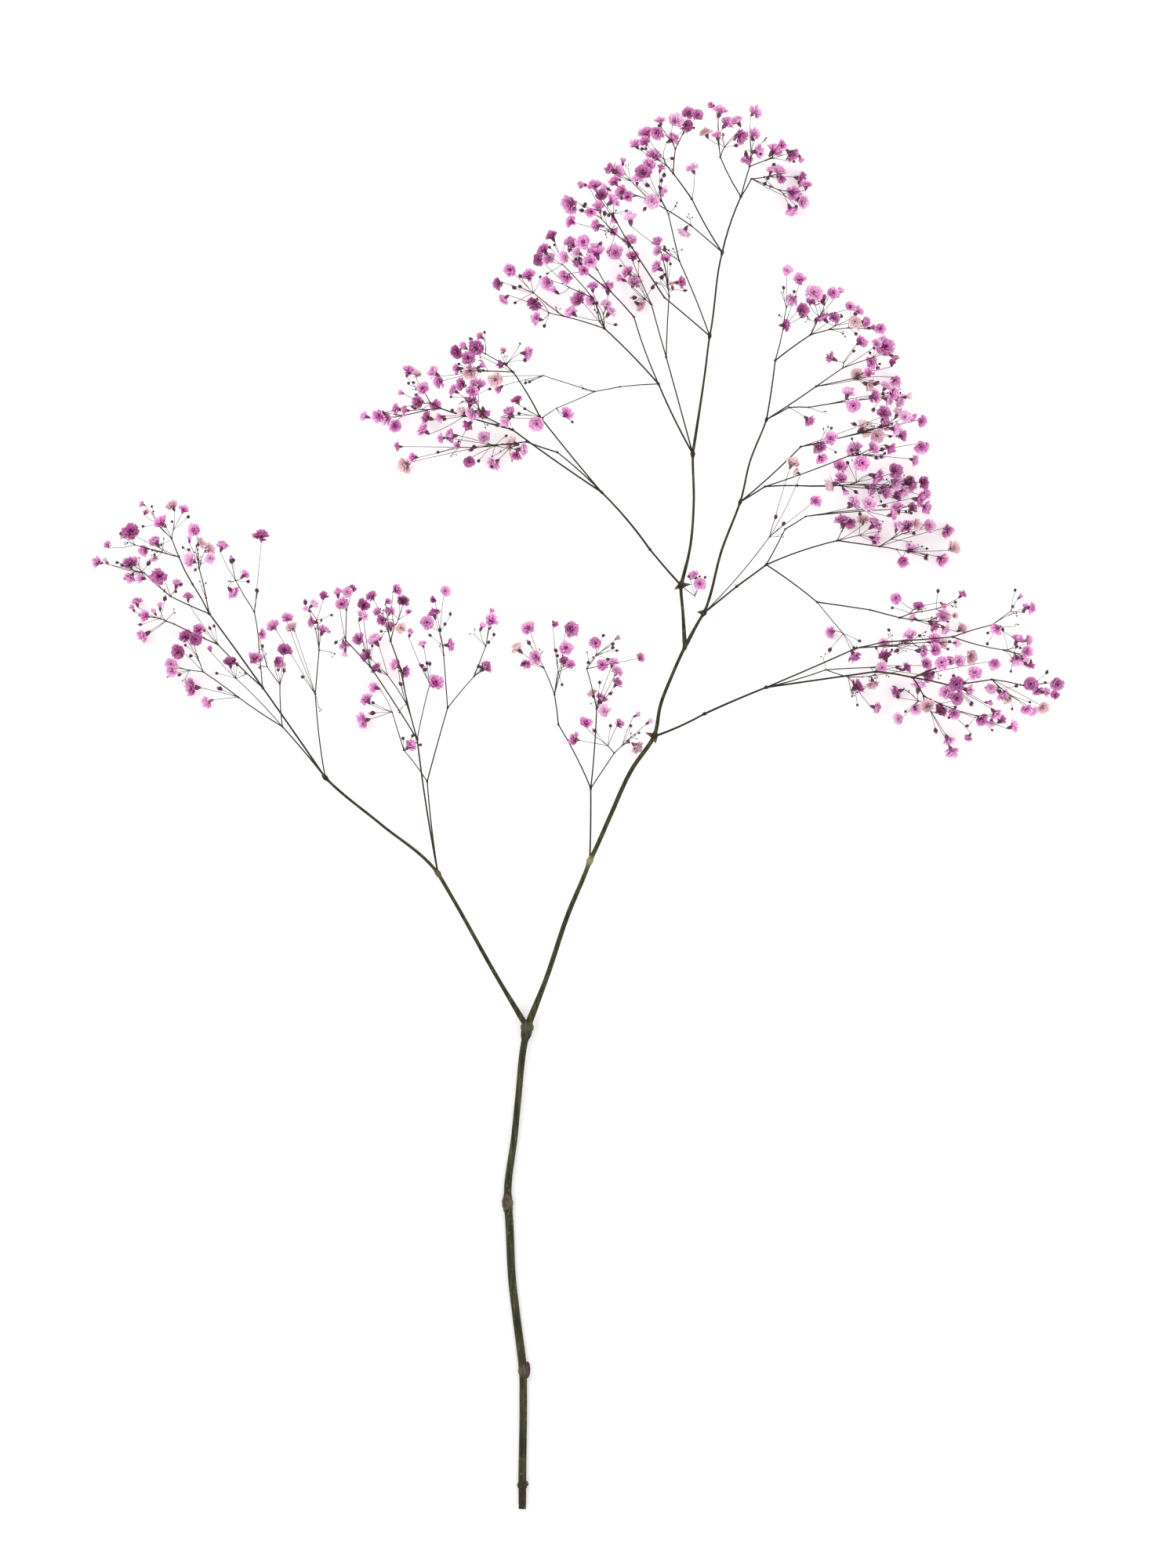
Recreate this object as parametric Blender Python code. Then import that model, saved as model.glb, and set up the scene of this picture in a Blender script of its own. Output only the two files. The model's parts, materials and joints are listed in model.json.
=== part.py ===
"""A cut gypsophila stem with double florets, lying as picked on a flat surface.

The stem lies along +Y with its cut end at -Y, the florets spread over X, and the surface is z = 0.
Each limb and each flowering sprig is its own solid, parted from what carries it by a hair's width.
"""
import itertools
import math
from dataclasses import dataclass, field

import bmesh
import bpy
import numpy as np
from mathutils import Matrix, Vector

MM = 0.001

# Driving dimensions, in millimetres unless the name says otherwise
PLANT_NAME = "gypsophila_stem"
GAP = 0.3
STEM_DETAIL = 2
STUB_LEAST = 1.6
STUB_MOST = 10.0
STUB_ROOM_FACTOR = 1.4
STUB_STEP = 0.2
STUB_ROOT_FLARE = 1.3
ROOT_LENGTH = 1.0
CORNER_REACH = 1.2
FORK_SWELLING = 1.5
FORK_HALF_LENGTH = (0.3, 1.3)
FORK_LEAST_SINE = 0.35
PEDICEL_HALF_WIDTH = 0.19
TWIG_GROWTH_POWER = 0.38
LEAST_SOLID_FLORET = 2.2
FLORET_ROOM = 0.5
TUFT_DEPTH = 9.0
FORK_BACK = 3.0
FORK_OPENING = 1.1
FORK_REACH_SHARE = 0.7
FLORET_CANDIDATES = 14
# How much a difference in height counts against one across, when a floret's place is chosen
SPREADING_ROUNDS = 16
SEED = 7

# Shares of a floret's radius: how far below its middle the cup starts, and above it the crown ends
FLORET_BASE = 0.8
FLORET_CROWN = 0.4
FLORET_CROWN_WIDTH = 0.8
# The least height of a floret's middle above the ground, as a share of its radius
FLORET_FOOTROOM = 1.1
# How much farther than its radius a floret's modelled corners reach
FLORET_CORNER_FACTOR = 1.1

# The dry bracts at the big nodes: node, direction out of it, and length
BRACTS = {
    "leader_bract_left": ("leader_node_2", (-0.85, 0.35, 0.4), 4.2),
    "leader_bract_lower": ("leader_node_2", (0.1, -0.75, 0.7), 4.0),
    "upper_bract_right": ("upper_node_1", (0.95, 0.1, -0.2), 3.8),
    "upper_bract_lower": ("upper_node_1", (-0.75, -0.45, 0.5), 3.4),
    "right_bract": ("right_node_1", (-0.9, 0.1, 0.45), 3.2),
}
BRACT_HALF_WIDTH = 0.95
BRACT_FOOTROOM = 0.05
BRACT_THICKNESS_SHARE = 0.3
BRACT_TIP_SHARE = 0.15
BRACT_SIDES = 6

STEM_COLOUR = (0.07, 0.075, 0.03, 1.0)
SPRIG_COLOUR = (0.55, 0.09, 0.36, 1.0)
BRACT_COLOUR = (0.12, 0.05, 0.04, 1.0)
STEM_ROUGHNESS = 0.55
SPRIG_ROUGHNESS = 0.8

# The stout limbs as lines of points: x, y, z, half thickness, and the name of a node of the plant
LIMBS = {
    "main_stem": (
        None,
        [
            (-28.0, -359.5, 2.3, 1.9, "cut_end"),
            (-28.0, -350.0, 2.4, 1.9, None),
            (-28.0, -347.5, 2.6, 2.6, "stem_node_1"),
            (-28.0, -344.5, 2.5, 2.0, None),
            (-27.5, -311.0, 2.4, 1.9, None),
            (-27.5, -293.0, 2.5, 1.9, None),
            (-27.5, -289.0, 2.7, 2.6, "stem_node_2"),
            (-28.0, -284.5, 2.6, 2.1, None),
            (-31.0, -261.0, 2.5, 2.0, None),
            (-33.0, -244.5, 2.5, 2.0, None),
            (-35.0, -208.5, 2.5, 2.05, None),
            (-35.5, -203.0, 2.9, 2.85, "stem_node_3"),
            (-35.5, -197.5, 2.7, 1.9, None),
            (-32.0, -169.0, 3.0, 1.65, None),
            (-30.0, -149.0, 3.4, 1.6, None),
            (-26.8, -120.5, 4.7, 1.7, None),
            (-26.0, -116.6, 5.0, 2.7, None),
            (-25.5, -113.2, 5.2, 3.4, "first_fork"),
            (-25.5, -110.5, 5.4, 2.9, None),
        ],
    ),
    "left_branch": (
        "first_fork",
        [
            (-40.0, -89.0, 8.0, 1.0, None),
            (-62.5, -49.0, 12.5, 0.9, None),
            (-69.5, -37.0, 14.0, 0.95, None),
            (-71.0, -34.5, 14.3, 1.5, "left_fork_1"),
            (-73.0, -32.0, 14.6, 0.8, None),
            (-100.0, -9.5, 18.0, 0.65, None),
            (-126.5, 12.5, 21.5, 0.65, None),
            (-128.5, 14.5, 21.8, 1.3, "left_fork_2"),
            (-129.8, 16.0, 22.1, 0.9, None),
        ],
    ),
    "leader": (
        "first_fork",
        [
            (-16.0, -89.0, 7.5, 1.25, None),
            (-4.5, -55.0, 10.5, 1.2, None),
            (5.2, -31.6, 12.9, 1.1, None),
            (6.5, -28.0, 13.2, 1.75, "leader_node_1"),
            (8.0, -25.0, 13.5, 1.1, None),
            (17.0, -5.0, 15.8, 1.1, None),
            (28.5, 19.5, 18.3, 1.05, None),
            (38.0, 33.0, 20.0, 1.05, None),
            (39.5, 35.5, 20.3, 1.8, "leader_node_2"),
            (40.3, 38.5, 20.7, 0.95, None),
            (42.5, 51.0, 22.3, 0.85, None),
            (48.0, 65.5, 24.2, 0.8, None),
            (54.0, 79.0, 26.0, 0.8, None),
            (55.0, 81.0, 26.3, 1.2, "leader_node_3"),
            (55.6, 82.6, 26.5, 0.9, None),
        ],
    ),
    "upper_arm": (
        "leader_node_3",
        [
            (53.8, 101.0, 29.0, 0.75, None),
            (53.0, 110.0, 30.2, 0.8, None),
            (53.0, 112.5, 30.5, 1.8, "upper_node_1"),
            (53.8, 115.5, 30.9, 0.9, None),
            (57.5, 131.0, 32.3, 0.65, None),
            (59.5, 155.0, 33.5, 0.6, None),
            (59.0, 177.0, 34.5, 0.6, None),
            (59.0, 179.5, 34.7, 1.3, "upper_node_2"),
            (59.1, 181.0, 34.8, 0.8, None),
        ],
    ),
    "right_arm": (
        "leader_node_3",
        [
            (63.5, 96.5, 27.8, 0.7, None),
            (64.8, 98.5, 28.0, 1.4, "right_node_1"),
            (65.8, 101.0, 28.2, 0.7, None),
            (74.0, 131.0, 30.0, 0.6, None),
            (82.5, 153.0, 31.8, 0.55, None),
            (83.2, 155.0, 32.0, 1.0, "right_node_2"),
            (83.8, 157.0, 32.1, 0.5, None),
            (88.0, 175.0, 33.0, 0.45, None),
            (96.0, 195.3, 34.0, 0.42, None),
            (96.6, 197.0, 34.1, 0.9, "right_node_3"),
            (96.9, 198.0, 34.2, 0.6, None),
        ],
    ),
    "top_leader": (
        "upper_node_2",
        [
            (65.5, 223.0, 37.0, 0.5, None),
            (67.3, 237.5, 38.0, 0.45, None),
            (67.6, 239.5, 38.1, 1.0, "top_node_1"),
            (68.0, 241.5, 38.3, 0.45, None),
            (73.5, 280.0, 40.2, 0.4, None),
            (74.0, 282.0, 40.3, 0.9, "top_node_2"),
            (74.2, 283.0, 40.4, 0.6, None),
        ],
    ),
}

# The twigs of the sprigs: piece, the fork it springs from, and its own forks with x, y and z
SHOOTS = [
    ("far_left_limb", "left_fork_2", [("far_left_a", -160.5, 60.5, 25), ("far_left_b", -187.5, 98, 28)]),
    ("far_left_tip_sprig", "far_left_b", [("far_left_c", -196, 113, 30), ("far_left_d", -203, 127, 33)]),
    ("far_left_west_sprig", "far_left_b", [("far_left_e", -207.5, 107, 23), ("far_left_f", -221, 119, 20)]),
    ("far_left_side_sprig", "far_left_a", [("far_left_g", -183.5, 82.5, 16), ("far_left_h", -206, 93, 14)]),
    ("far_left_east_sprig", "far_left_b", [("far_left_i", -189, 106, 37), ("far_left_j", -192.5, 121, 41)]),
    ("far_left_inner_sprig", "far_left_a", [("far_left_k", -162, 78, 31), ("far_left_l", -164.5, 99, 35)]),
    ("far_left_inner_sprig", "far_left_l", [("far_left_m", -174, 115, 38)]),
    ("far_left_low_sprig", "left_fork_2", [("far_left_n", -150.5, 40.5, 15), ("far_left_o", -173, 55.5, 12)]),
    ("far_left_low_sprig", "far_left_o", [("far_left_p", -191, 68.5, 10)]),
    ("far_left_low_sprig", "far_left_n", [("far_left_q", -174, 65, 21)]),
    ("far_left_near_sprig", "far_left_n", [("far_left_r", -151.5, 62, 30), ("far_left_s", -158, 71, 34)]),
    ("far_left_short_sprig", "left_fork_2", [("far_left_t", -133.5, 57, 27), ("far_left_u", -131.5, 79.5, 31)]),
    ("mid_left_right_sprig", "left_fork_1", [("mid_left_a", -76.5, 12.5, 18), ("mid_left_b", -66, 50, 26)]),
    ("mid_left_right_sprig", "mid_left_b", [("mid_left_c", -68, 77, 29)]),
    ("mid_left_far_right_sprig", "mid_left_b", [("mid_left_d", -52.5, 66, 34), ("mid_left_e", -46.5, 81.5, 36)]),
    ("mid_left_low_sprig", "mid_left_a", [("mid_left_f", -88.5, 28.5, 10), ("mid_left_g", -94.5, 48, 9)]),
    ("mid_left_outer_sprig", "left_fork_1", [("mid_left_h", -81.5, 34, 30), ("mid_left_i", -105.5, 71, 24)]),
    ("mid_left_outer_sprig", "mid_left_i", [("mid_left_j", -118, 84.5, 26)]),
    ("mid_left_centre_sprig", "mid_left_h", [("mid_left_k", -90, 70, 33), ("mid_left_l", -95, 84, 37)]),
    ("mid_left_near_sprig", "mid_left_h", [("mid_left_m", -87, 52, 19), ("mid_left_n", -97, 67, 15)]),
    ("mid_left_outer_sprig", "mid_left_h", [("mid_left_o", -75, 62, 41)]),
    ("middle_top_sprig", "leader_node_1", [("middle_a", 7, 9, 20), ("middle_b", 10, 49.5, 32)]),
    ("middle_top_sprig", "middle_b", [("middle_c", 5, 70, 36)]),
    ("middle_left_sprig", "middle_a", [("middle_d", -9.5, 41.5, 25), ("middle_e", -11.5, 57, 27)]),
    ("middle_left_sprig", "middle_e", [("middle_f", -17, 70.5, 27)]),
    ("middle_top_sprig", "middle_a", [("middle_g", 19, 27, 15)]),
    ("upper_left_low_sprig", "upper_node_1", [("upper_left_a", 37, 131, 31), ("upper_left_b", 12.5, 160, 32)]),
    ("upper_left_low_sprig", "upper_left_b", [("upper_left_c", -33, 192, 26), ("upper_left_d", -57.5, 199, 23)]),
    ("upper_left_low_sprig", "upper_left_d", [("upper_left_e", -70, 203, 23)]),
    ("upper_left_centre_sprig", "upper_left_c", [("upper_left_f", -46, 198, 35)]),
    ("upper_left_mid_sprig", "upper_left_b", [("upper_left_g", -10, 180.5, 19), ("upper_left_h", -26, 186, 15)]),
    ("upper_left_high_sprig", "upper_left_b", [("upper_left_i", -19, 198.5, 39), ("upper_left_j", -32.5, 221, 45)]),
    ("top_left_high_sprig", "upper_node_2", [("top_left_a", 41.5, 215, 41), ("top_left_b", 29, 249, 47)]),
    ("top_left_high_sprig", "top_left_b", [("top_left_c", 17, 262, 50)]),
    ("upper_left_cross_sprig", "top_left_a", [("upper_left_k", 22, 213.5, 45), ("upper_left_l", 9, 211, 47)]),
    ("upper_left_cross_sprig", "upper_left_l", [("upper_left_m", -17, 219, 52)]),
    ("upper_left_cross_sprig", "upper_left_l", [("upper_left_n", -10.5, 202.5, 46)]),
    ("top_left_low_sprig", "top_left_a", [("top_left_d", 14, 243.5, 30), ("top_left_e", -7, 250, 24)]),
    ("top_left_inner_sprig", "top_left_d", [("top_left_f", 8, 259, 35)]),
    ("top_mid_sprig", "upper_node_2", [("top_mid_a", 45.5, 229, 25), ("top_mid_b", 38, 256, 19)]),
    ("top_mid_sprig", "top_mid_a", [("top_mid_c", 47, 260, 28)]),
    ("top_fan_low_sprig", "top_node_1", [("top_fan_a", 44.5, 259, 42), ("top_fan_b", 28, 284.5, 40)]),
    ("top_fan_high_sprig", "top_node_1", [("top_fan_c", 52, 277.5, 51), ("top_fan_d", 46.5, 301, 55)]),
    ("top_arc_left_sprig", "top_node_2", [("top_arc_a", 58, 296, 33), ("top_arc_b", 37, 309, 28)]),
    ("top_arc_mid_sprig", "top_node_2", [("top_arc_c", 58.5, 309, 45), ("top_arc_d", 49, 322, 46)]),
    ("top_arc_right_sprig", "top_node_2", [("top_arc_e", 83.5, 310.5, 37), ("top_arc_f", 73, 330.5, 41)]),
    ("top_arc_right_sprig", "top_arc_e", [("top_arc_g", 88, 326, 33)]),
    ("top_arc_end_sprig", "top_arc_e", [("top_arc_h", 89, 320, 24)]),
    ("right_top_sprig", "right_node_3", [("right_a", 101, 227, 38), ("right_b", 105, 243, 40)]),
    ("right_top_sprig", "right_a", [("right_c", 119, 240, 44)]),
    ("right_high_sprig", "right_node_3", [("right_d", 122, 214, 27)]),
    ("right_upper_sprig", "right_node_3", [("right_e", 108, 203, 43), ("right_f", 118, 203, 46)]),
    ("right_mid_sprig", "right_node_2", [("right_g", 114, 183, 43)]),
    ("right_centre_sprig", "right_node_2", [("right_h", 96, 163, 24), ("right_i", 112.5, 163.5, 20)]),
    ("right_inner_sprig", "right_h", [("right_j", 138.5, 178.5, 31)]),
    ("right_low_sprig", "right_node_1", [("right_k", 81.5, 112, 29), ("right_l", 96.5, 123, 30)]),
    ("right_low_sprig", "right_l", [("right_m", 133, 135.5, 19), ("right_n", 154.5, 132.5, 15)]),
    ("right_curve_sprig", "right_l", [("right_o", 106, 141, 40), ("right_p", 116.5, 147.5, 44)]),
    ("right_thin_sprig", "right_node_1", [("right_q", 98, 137, 47)]),
    ("lower_right_high_sprig", "right_l", [("lower_a", 122.5, 104, 24), ("lower_b", 149.5, 100, 27)]),
    ("lower_right_high_sprig", "lower_b", [("lower_c", 164.5, 96, 29)]),
    ("lower_right_high_sprig", "lower_a", [("lower_d", 136, 88, 13)]),
    ("lower_right_long_sprig", "leader_node_2", [("lower_e", 65, 47, 24), ("lower_f", 96.5, 60.5, 28)]),
    ("lower_right_long_sprig", "lower_f", [("lower_g", 152.5, 68.5, 35), ("lower_h", 171, 65.5, 38)]),
    ("lower_right_long_sprig", "lower_h", [("lower_i", 190, 61.5, 41)]),
    ("lower_right_upper_sprig", "lower_f", [("lower_j", 142.5, 80.5, 40)]),
    ("lower_right_mid_sprig", "lower_f", [("lower_k", 127, 69.5, 19)]),
    ("lower_right_drop_sprig", "lower_h", [("lower_l", 177, 56, 23)]),
    ("lower_right_tip_sprig", "lower_i", [("lower_m", 211.5, 64.5, 33)]),
    ("lower_right_far_tip_sprig", "lower_j", [("lower_o", 156, 83.5, 51), ("lower_n", 191, 86, 60)]),
    ("upper_node_sprig", "upper_node_1", [("upper_a", 60, 107, 40)]),
]

# The tufts: fork, mean height, each floret's x, y and radius, and the number of buds among them
TUFTS = [
    ("far_left_d", 35, [(-220, 149.5, 1.8), (-206.5, 153, 2.8), (-200.5, 151, 2.2)], 3),
    ("far_left_d", 31, [(-212, 144.5, 3.3), (-222, 154, 1.6)], 2),
    ("far_left_d", 26, [(-215.5, 135, 2.9), (-221, 130, 2.7), (-215.5, 126.5, 1.9)], 2),
    ("far_left_d", 42, [(-227, 140, 3.2), (-231, 138.5, 2.5), (-239, 133, 1.8)], 2),
    ("far_left_f", 18, [(-245.5, 124.5, 2.7), (-240.5, 125, 1.9)], 2),
    ("far_left_f", 12, [(-228.5, 124.5, 3.2), (-228, 116.5, 2.6), (-223, 116.5, 2.4)], 2),
    ("far_left_e", 32, [(-213, 117, 3.5), (-204, 113.5, 2.4)], 2),
    ("far_left_h", 12, [(-225, 104.5, 2.4), (-220.5, 97, 2.7), (-227, 101, 1.9)], 2),
    ("far_left_h", 14, [(-213, 102, 2.1), (-216, 99, 1.9)], 1),
    ("far_left_h", 9, [(-221.5, 87, 3.2)], 1),
    ("far_left_g", 22, [(-193, 90, 2.5), (-198.5, 107, 2.3)], 3),
    ("far_left_j", 46, [(-195, 140.5, 2.8), (-191.5, 134, 2.5), (-197.5, 136, 1.8)], 1),
    ("far_left_j", 52, [(-196.5, 125, 3.2), (-187, 130.5, 2.7), (-186.5, 126, 2.4)], 2),
    ("far_left_m", 44, [(-180.5, 132.5, 2.6)], 3),
    ("far_left_m", 28, [(-175.5, 109, 2.9), (-169.5, 118, 2.4)], 1),
    ("far_left_l", 40, [(-161, 138, 3.1)], 3),
    ("far_left_p", 13, [(-200, 87, 2.8), (-195, 85, 2.7), (-203.5, 78.5, 2.9)], 2),
    ("far_left_p", 8, [(-207.5, 72.5, 2.5), (-207, 68.5, 2.4)], 2),
    ("far_left_o", 5, [(-197, 60.5, 3.6), (-189, 53, 2.9)], 1),
    ("far_left_q", 27, [(-177, 73.5, 2.9), (-187, 80, 1.7)], 3),
    ("far_left_s", 40, [(-160.5, 87.5, 2.1), (-164, 75.5, 2.9)], 2),
    ("far_left_r", 30, [(-152.5, 73.5, 2.4), (-149, 79.5, 2.9), (-149.5, 71, 2.1)], 2),
    ("far_left_t", 24, [(-155.5, 92, 2.8), (-147.5, 96, 2.4), (-145.5, 91, 2.6)], 1),
    ("far_left_u", 34, [(-129, 107, 1.9), (-134.5, 103, 2.4), (-137.5, 100, 2.1)], 2),
    ("far_left_u", 28, [(-135.5, 94, 2.6), (-129.5, 90, 2.8)], 2),
    ("mid_left_c", 30, [(-73, 98.5, 2.7), (-73, 105, 2.1), (-76.5, 93.5, 2.7)], 2),
    ("mid_left_c", 38, [(-67, 109.5, 2.1), (-65, 82, 2.5)], 2),
    ("mid_left_e", 38, [(-43.5, 94.5, 2.8), (-48.5, 91.5, 2.2), (-43.5, 99, 1.8)], 3),
    ("mid_left_d", 26, [(-46.5, 71, 2.9)], 3),
    ("mid_left_g", 9, [(-103.5, 60.5, 2.6), (-107.5, 54.5, 2.9), (-109.5, 43.5, 3.2)], 2),
    ("mid_left_f", 10, [(-85, 31, 2.8)], 3),
    ("mid_left_j", 30, [(-122, 109, 2.5), (-117, 109, 2.0), (-115, 110.5, 1.9), (-120, 103, 2.5)], 2),
    ("mid_left_j", 16, [(-119, 82, 2.4), (-118.5, 78, 2.1)], 1),
    ("mid_left_i", 22, [(-109, 102.5, 2.7), (-109.5, 97, 2.7), (-111.5, 85, 2.5)], 2),
    ("mid_left_l", 40, [(-104.5, 107, 2.4), (-102, 99, 1.9), (-99, 94.5, 2.2), (-96.5, 104, 2.2)], 1),
    ("mid_left_l", 34, [(-95.5, 99, 2.4), (-95, 92, 2.4)], 1),
    ("mid_left_l", 50, [(-91.5, 110, 2.4), (-88.5, 104.5, 2.5), (-89.5, 90.5, 2.4), (-85.5, 98.5, 1.9)], 2),
    ("mid_left_n", 12, [(-103.5, 85, 3.4), (-107.5, 77, 2.7), (-102.5, 70.5, 2.7)], 1),
    ("mid_left_m", 10, [(-92.5, 72, 2.7), (-88, 68.5, 2.7)], 1),
    ("mid_left_o", 46, [(-85, 88, 2.2), (-78.5, 82.5, 1.9)], 4),
    ("mid_left_o", 40, [(-72, 63, 3.2)], 0),
    ("middle_f", 32, [(-25, 91, 2.9)], 2),
    ("middle_f", 22, [(-30.5, 80.5, 2.9), (-21.5, 75.5, 2.9), (-25.5, 72.5, 2.2)], 1),
    ("middle_e", 36, [(-11.5, 93, 2.1)], 1),
    ("middle_e", 28, [(-3, 90, 3.2), (-5.5, 80.5, 2.9), (-6.5, 74, 2.4), (-3.5, 72, 2.2)], 2),
    ("middle_c", 42, [(9.5, 83, 2.4), (13, 72, 2.5)], 4),
    ("middle_c", 46, [(20.5, 85.5, 1.8), (32.5, 75.5, 1.9)], 4),
    ("middle_b", 32, [(18.5, 73, 2.5), (20.5, 68.5, 2.5), (20.5, 63, 2.4)], 1),
    ("middle_b", 24, [(7.5, 57.5, 2.4), (12.5, 55, 2.9), (14, 48.5, 2.7)], 1),
    ("middle_g", 11, [(4.5, 42.5, 2.8), (-1.5, 34, 2.6)], 1),
    ("middle_g", 10, [(21.5, 42, 2.1), (30.5, 46.5, 1.8), (37, 43, 2.0), (30.5, 30, 2.8)], 4),
    ("upper_left_e", 20, [(-108.5, 199, 2.2), (-101.5, 198.5, 2.6), (-97.5, 198, 2.5)], 2),
    ("upper_left_e", 14, [(-92.5, 203, 2.5), (-93, 194, 2.3), (-88, 202, 2.0)], 1),
    ("upper_left_e", 30, [(-78.5, 213, 2.4), (-81, 206, 2.6), (-72.5, 204.5, 2.3), (-89.5, 210.5, 1.7)], 2),
    ("upper_left_e", 38, [(-85.5, 222, 2.8), (-81.5, 220, 1.8)], 2),
    ("upper_left_d", 14, [(-77, 198.5, 2.8), (-70, 198.5, 2.1), (-78.5, 192, 2.8)], 2),
    ("upper_left_f", 36, [(-54.5, 206, 2.6), (-58.5, 201, 2.6), (-54, 200, 2.6)], 2),
    ("upper_left_f", 32, [(-47.5, 200.5, 2.6), (-55.5, 194.5, 2.3)], 1),
    ("upper_left_f", 42, [(-51, 215, 3.1), (-59, 214.5, 2.4), (-63, 212, 2.3), (-53, 211, 2.3)], 3),
    ("upper_left_h", 10, [(-33.5, 185.5, 2.9), (-27.5, 182, 2.8), (-31, 179, 2.2)], 1),
    ("upper_left_h", 8, [(-47.5, 188.5, 2.4), (-42.5, 175, 2.8), (-55, 176, 2.2)], 4),
    ("upper_left_h", 14, [(-64.5, 189, 2.7), (-69.5, 187.5, 1.9), (-61, 184, 2.0)], 3),
    ("upper_left_h", 9, [(-88, 174, 3.0), (-83.5, 178, 2.1), (-91.5, 183.5, 1.8)], 1),
    ("upper_left_j", 48, [(-37.5, 231.5, 1.9), (-38.5, 225, 2.0), (-25.5, 230.5, 2.6)], 1),
    ("upper_left_j", 58, [(-61, 230.5, 2.6), (-57.5, 234, 2.2), (-51.5, 233, 2.9)], 1),
    ("upper_left_j", 62, [(-49, 238.5, 1.8), (-55.5, 228, 2.6)], 1),
    ("upper_left_j", 52, [(-61, 222.5, 2.3), (-54.5, 220.5, 2.9), (-49, 224, 1.9)], 2),
    ("upper_left_j", 54, [(-73, 220.5, 2.8), (-70.5, 216, 2.4)], 2),
    ("upper_left_i", 28, [(-30.5, 207, 2.1), (-34.5, 201, 2.7), (-36, 196.5, 2.7)], 2),
    ("upper_left_m", 64, [(-41.5, 216.5, 2.8), (-39.5, 212.5, 2.2)], 2),
    ("upper_left_n", 42, [(-20.5, 194.5, 2.9), (-5, 200, 2.5)], 2),
    ("top_left_e", 18, [(-34.5, 274, 2.4), (-40.5, 266.5, 2.4), (-37.5, 259, 2.3)], 4),
    ("top_left_e", 12, [(-25, 271, 2.8), (-21.5, 256.5, 2.8), (-21, 248.5, 2.6)], 2),
    ("top_left_d", 18, [(0.5, 258.5, 2.9), (7, 258.5, 2.1), (-3, 252.5, 2.7), (8, 265, 2.3)], 2),
    ("top_left_d", 24, [(14.5, 256, 2.1), (17, 252.5, 2.6), (15.5, 264.5, 2.7)], 1),
    ("top_left_f", 34, [(-15.5, 266.5, 2.9), (-11.5, 263, 2.2)], 1),
    ("top_left_f", 38, [(-17, 283, 2.6), (-19.5, 278.5, 2.3), (-14.5, 279, 2.4), (-13, 290.5, 2.4)], 3),
    ("top_left_c", 48, [(-6.5, 279, 2.3), (-3, 286.5, 3.1), (-6, 269, 2.7)], 2),
    ("top_left_c", 52, [(0, 282, 2.4), (0.5, 277, 2.4)], 2),
    ("top_left_c", 62, [(3, 286.5, 2.6), (9.5, 282, 3.4), (6.5, 276.5, 2.4), (3.5, 272.5, 2.1)], 2),
    ("top_mid_b", 20, [(19.5, 283, 2.9), (27, 288.5, 2.9), (28.5, 280.5, 2.4), (25.5, 272.5, 2.4)], 2),
    ("top_mid_b", 11, [(22.5, 269.5, 2.1), (29.5, 268, 2.9), (32.5, 256, 2.5)], 3),
    ("top_mid_c", 26, [(41, 288, 2.4), (41, 283, 2.1), (40.5, 275, 2.7), (45.5, 280, 2.1)], 3),
    ("top_mid_c", 20, [(48.5, 266, 1.8), (53, 267, 2.4)], 1),
    ("top_fan_b", 38, [(10, 296, 2.5), (18.5, 299, 2.2), (18.5, 293, 1.9), (-3, 298, 2.2)], 3),
    ("top_fan_b", 44, [(-3.5, 306, 3.4), (3, 316.5, 2.2), (9, 316, 2.7), (14.5, 315, 2.2)], 3),
    ("top_fan_b", 50, [(12.5, 311, 2.4), (18.5, 308, 2.9), (11, 305, 2.6), (7, 302, 2.1)], 2),
    ("top_fan_c", 58, [(27, 299, 3.0)], 3),
    ("top_fan_d", 56, [(43.5, 313, 2.3), (38, 307.5, 2.6)], 2),
    ("top_fan_d", 66, [(33.5, 322, 2.9), (30.5, 318.5, 2.2), (36.5, 326.5, 2.6), (42.5, 324, 1.8)], 2),
    ("top_arc_b", 26, [(23.5, 329, 1.9), (17, 325, 2.5), (21, 324, 2.6), (19, 319, 2.3)], 2),
    ("top_arc_b", 14, [(22.5, 314, 2.5), (26, 311, 2.0)], 2),
    ("top_arc_a", 26, [(54.5, 292.5, 2.6)], 0),
    ("top_arc_d", 44, [(35.5, 343, 2.9), (40.5, 342.5, 2.5), (29.5, 337, 2.4)], 2),
    ("top_arc_d", 48, [(34.5, 338, 2.0), (42.5, 349, 2.0)], 1),
    ("top_arc_d", 52, [(50.5, 348.5, 3.0), (57, 353, 2.5), (61.5, 351.5, 2.2), (55.5, 346.5, 2.4)], 1),
    ("top_arc_d", 36, [(39, 331.5, 2.7), (36.5, 327, 2.4), (49, 340, 2.7)], 2),
    ("top_arc_c", 58, [(58.5, 324.5, 2.4)], 0),
    ("top_arc_f", 42, [(69, 357, 2.1), (73, 354, 2.9), (76.5, 348, 2.8), (81.5, 349, 2.6)], 1),
    ("top_arc_f", 48, [(65.5, 343, 2.4), (71, 341, 2.0), (83, 340.5, 2.9)], 1),
    ("top_arc_g", 32, [(91, 354, 2.6), (90.5, 342.5, 2.3), (86.5, 330.5, 2.7)], 2),
    ("top_arc_g", 28, [(92.5, 334, 2.8), (101, 335, 3.2), (104.5, 337, 2.0)], 2),
    ("top_arc_g", 22, [(109.5, 332, 2.9), (114, 330.5, 2.0)], 1),
    ("top_arc_h", 18, [(99, 324.5, 1.8), (103, 324, 2.7), (104.5, 320.5, 1.9)], 3),
    ("top_arc_h", 13, [(114.5, 320.5, 2.7), (117, 317, 2.2), (110.5, 313, 2.5)], 1),
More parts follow.
